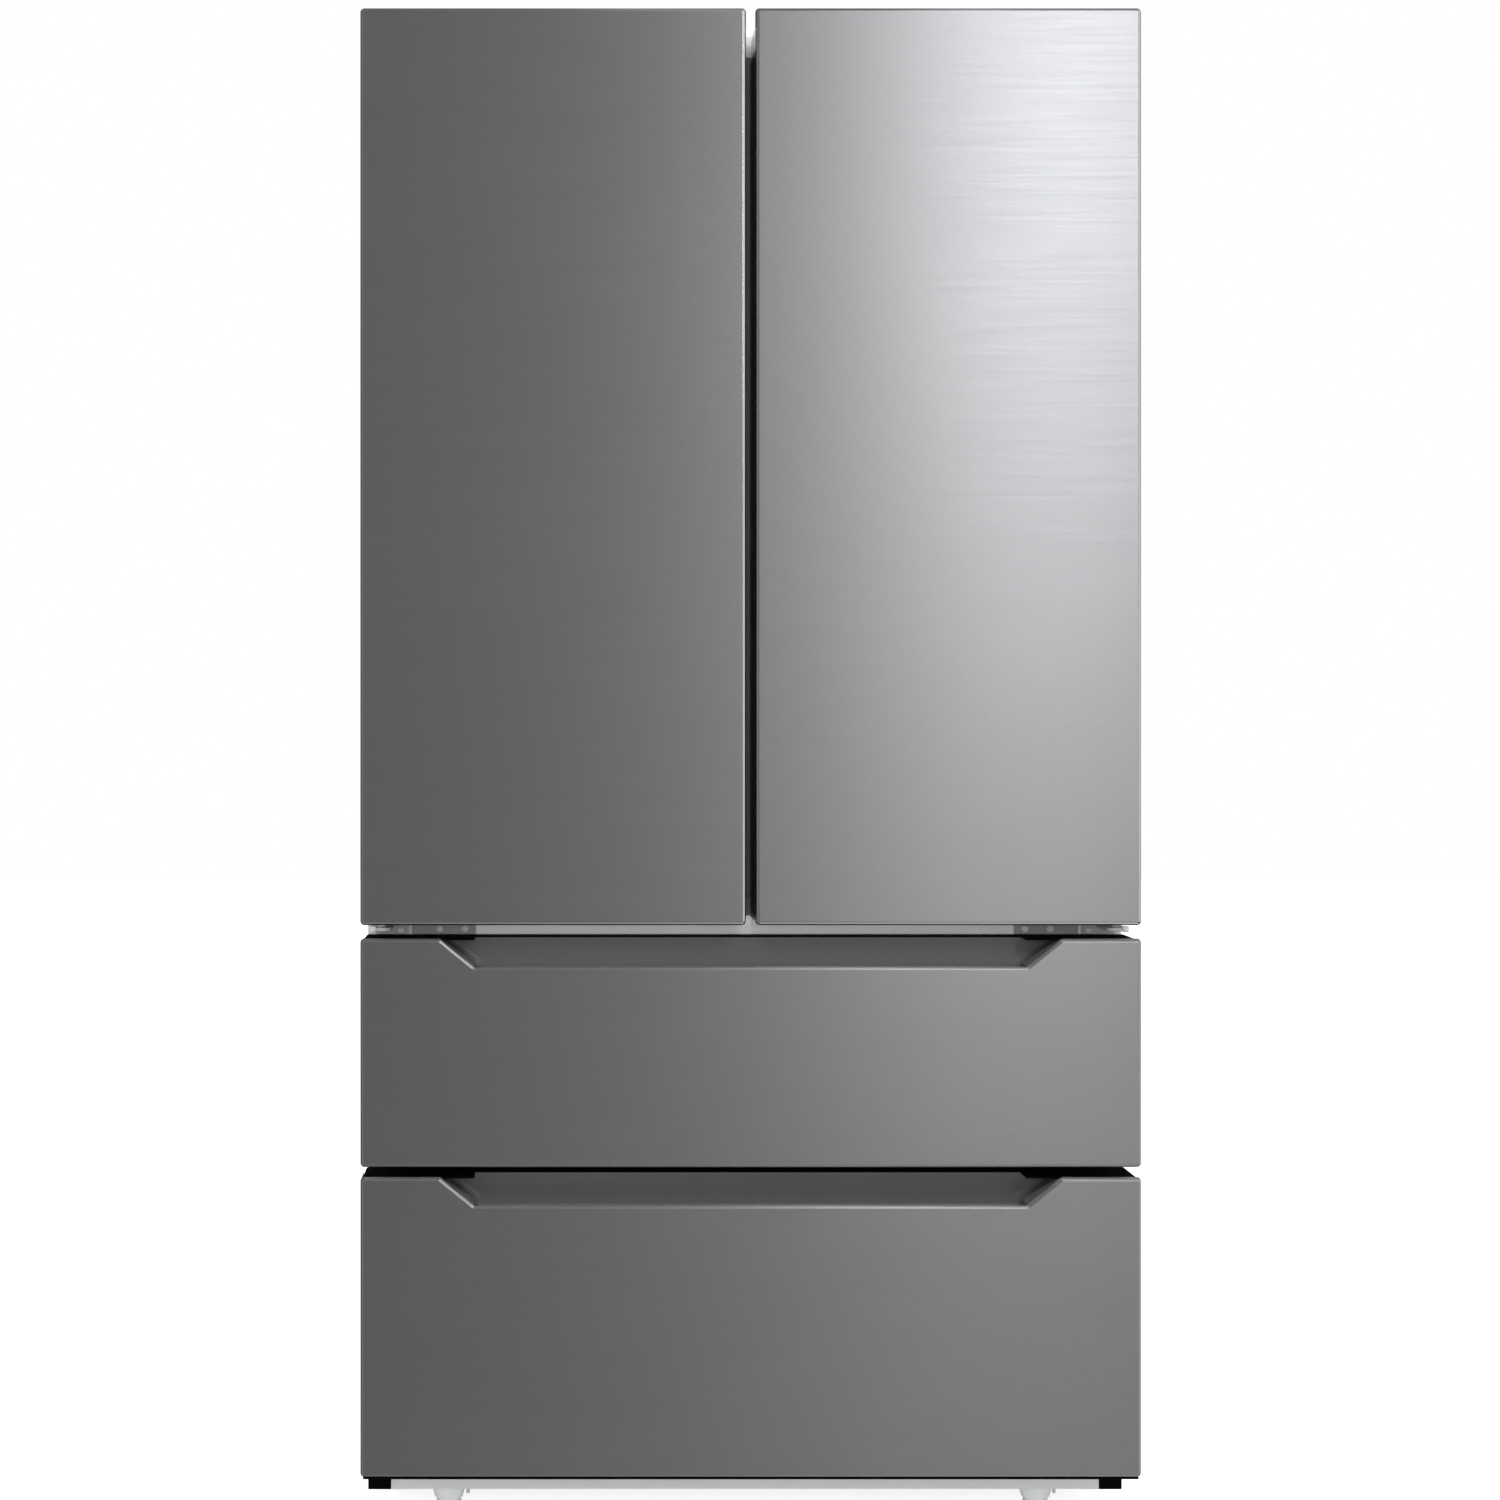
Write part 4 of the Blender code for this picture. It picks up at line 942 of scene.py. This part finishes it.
def make_rear_details():
    """Pressed ribs on the rear panel, and the screws of the panel and of the cover below it."""
    low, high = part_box("rear_panel")
    for i, x in enumerate((-0.27, -0.09, 0.09, 0.27)):
        rib = rounded_box(
            (x - 0.016, high.y - 0.0008, low.z + 0.09), (x + 0.016, high.y + 0.0028, high.z - 0.09), 0.0026, 4
        )
        piece_of(f"rear_rib_{i}", rib, "rear_paint", "cabinet")
    spots = [(x, z) for x in (low.x + 0.012, high.x - 0.012) for z in (0.30, 0.66, 1.02, 1.38, 1.74)]
    spots += [(x, high.z - 0.012) for x in (-0.22, 0.0, 0.22)]
    cover_low, cover_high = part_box("machine_room_cover")
    spots += [(x, z) for x in (cover_low.x + 0.012, cover_high.x - 0.012) for z in (0.052, 0.246)]
    for i, (x, z) in enumerate(spots):
        screw_head(f"rear_screw_{i}", (x, high.y + 0.0001, z), 0.0045, "y")


# ---------------------------------------------------------------- studio

# The strength of the room that glossy rays see, by direction, and of the light that diffuse rays see
ROOM = 0.166
ROOM_RIGHT = 1.30
ROOM_LEFT = 0.34
ROOM_ABOVE = 0.42
ROOM_BELOW = 1.0
ROOM_BELOW_LEFT = 0.16
ROOM_PATCH = 1.1
ROOM_DIFFUSE = 0.60
FLOOR_GLOW = 0.75
KEY_AT = (0.885, -2.87, 2.33)
KEY_SIZE = (0.42, 1.30)
# Watts
KEY_POWER = 21
LOW_FILL = 30
BACK_FILL = 18
HIGH_FILL = 45
CAMERA_AT = (-0.2495, -3.3805, 0.966)
CAMERA_LENS = 62.36
CAMERA_SHIFT = (0.1430, -0.0293)


def area_light(name, location, target, size, power):
    """A rectangular lamp that faces its target."""
    data = bpy.data.lights.new(name, "AREA")
    data.shape = "RECTANGLE"
    data.size, data.size_y = size
    data.energy = power
    made = bpy.data.objects.new(name, data)
    made.location = location
    made.rotation_euler = (Vector(target) - Vector(location)).to_track_quat("-Z", "Y").to_euler()
    bpy.context.scene.collection.objects.link(made)
    return made


def make_world():
    """White to the camera, an even light to diffuse rays, and to glossy rays a grey room that is brighter on
    the right, above and below, and dark behind, but for one bright patch."""
    world = bpy.data.worlds.new("studio")
    world.use_nodes = True
    world.cycles.sampling_method = "NONE"
    bpy.context.scene.world = world
    tree = world.node_tree
    place = tree.nodes.new("ShaderNodeTexCoord")
    split = tree.nodes.new("ShaderNodeSeparateXYZ")
    tree.links.new(place.outputs["Generated"], split.inputs["Vector"])

    def ramp(axis, low, high, start, end):
        return spread(tree, split.outputs[axis], low, high, start, end)

    def product(first, *others):
        for other in others:
            first = combine(tree, first, other)
        return first

    def total(first, *others):
        for other in others:
            first = combine(tree, first, other, "ADD")
        return first

    right = product(ramp("X", 0.0, ROOM_RIGHT - ROOM, 0.35, 0.90), ramp("Z", 0.0, 1.0, -0.28, -0.05))
    left = ramp("X", ROOM_LEFT, ROOM, -0.80, -0.35)
    above = product(ramp("Z", 0.0, ROOM_ABOVE - ROOM, 0.45, 0.90), ramp("Z", 1.0, 0.1, 0.955, 0.985))
    below = product(ramp("Z", 1.0, 0.0, -0.90, -0.80), ramp("X", ROOM_BELOW_LEFT, ROOM_BELOW, -0.07, 0.24))
    front = product(total(right, left, above, below), ramp("Y", 1.0, 0.12, 0.10, 0.50))
    patch = product(
        ramp("Y", 0.0, ROOM_PATCH, 0.90, 0.95),
        ramp("X", 0.0, 1.0, -0.24, -0.16),
        ramp("Z", 0.0, 1.0, 0.17, 0.22),
    )
    room = total(front, patch)

    path = tree.nodes.new("ShaderNodeLightPath")
    strength = tree.nodes.new("ShaderNodeMix")
    strength.data_type = "FLOAT"
    tree.links.new(path.outputs["Is Glossy Ray"], strength.inputs[0])
    strength.inputs[2].default_value = ROOM_DIFFUSE
    tree.links.new(room, strength.inputs[3])
    seen = tree.nodes.new("ShaderNodeMix")
    seen.data_type = "FLOAT"
    tree.links.new(path.outputs["Is Camera Ray"], seen.inputs[0])
    tree.links.new(strength.outputs[0], seen.inputs[2])
    seen.inputs[3].default_value = 1.0
    backdrop = tree.nodes["Background"]
    backdrop.inputs["Color"].default_value = (1, 1, 1, 1)
    tree.links.new(seen.outputs[0], backdrop.inputs["Strength"])


def make_camera():
    data = bpy.data.cameras.new("camera")
    data.lens = CAMERA_LENS
    data.sensor_width = 36.0
    data.shift_x, data.shift_y = CAMERA_SHIFT
    made = bpy.data.objects.new("camera", data)
    made.location = CAMERA_AT
    made.rotation_euler = (math.pi / 2, 0, 0)
    bpy.context.scene.collection.objects.link(made)
    bpy.context.scene.camera = made


def make_floor():
    """A white floor, staged, that glossy rays don't see."""
    shape = bmesh.new()
    bmesh.ops.create_grid(shape, x_segments=2, y_segments=2, size=9.0)
    mesh = bpy.data.meshes.new("floor")
    shape.to_mesh(mesh)
    shape.free()
    floor = bpy.data.objects.new("floor", mesh)
    floor.location = (0, 2.0, -0.0005)
    paint, tree, shader = new_material("floor_paint", 0.9, Emission_Strength=FLOOR_GLOW)
    shader.inputs["Emission Color"].default_value = (1, 1, 1, 1)
    fine = noise(tree, (60.0,) * 3, 3.0)
    tint(tree, shader, (0.85, 0.85, 0.85), spread(tree, fine, 0.99, 1.01))
    mesh.materials.append(paint)
    bpy.context.scene.collection.objects.link(floor)
    floor.visible_glossy = False


def make_studio():
    bpy.context.scene.view_settings.view_transform = "Standard"
    make_camera()
    make_world()
    make_floor()
    area_light("key", KEY_AT, (0.37, DOOR_FACE, 1.767), KEY_SIZE, KEY_POWER)
    fills = (
        ("back_left", (-2.4, 1.8, 2.8), (-0.4, 0.4, 0.6), (1.6, 1.6), BACK_FILL),
        ("back_right", (2.4, 1.8, 2.8), (0.4, 0.4, 0.6), (1.6, 1.6), BACK_FILL),
        ("front_fill", (-0.3, -3.3, 0.95), (0, DOOR_FACE, 0.8), (1.4, 0.8), LOW_FILL),
        ("high_fill", (0, -2.2, 2.2), (0, DOOR_FACE, 0.6), (1.8, 0.8), HIGH_FILL),
    )
    for name, location, target, size, power in fills:
        area_light(name, location, target, size, power).visible_glossy = False


paint_cad_nodes()
make_door_skins()
make_drawer_fronts()
make_cabinet_details()
make_mullion_guide()
make_inside()
make_rear_details()
make_studio()
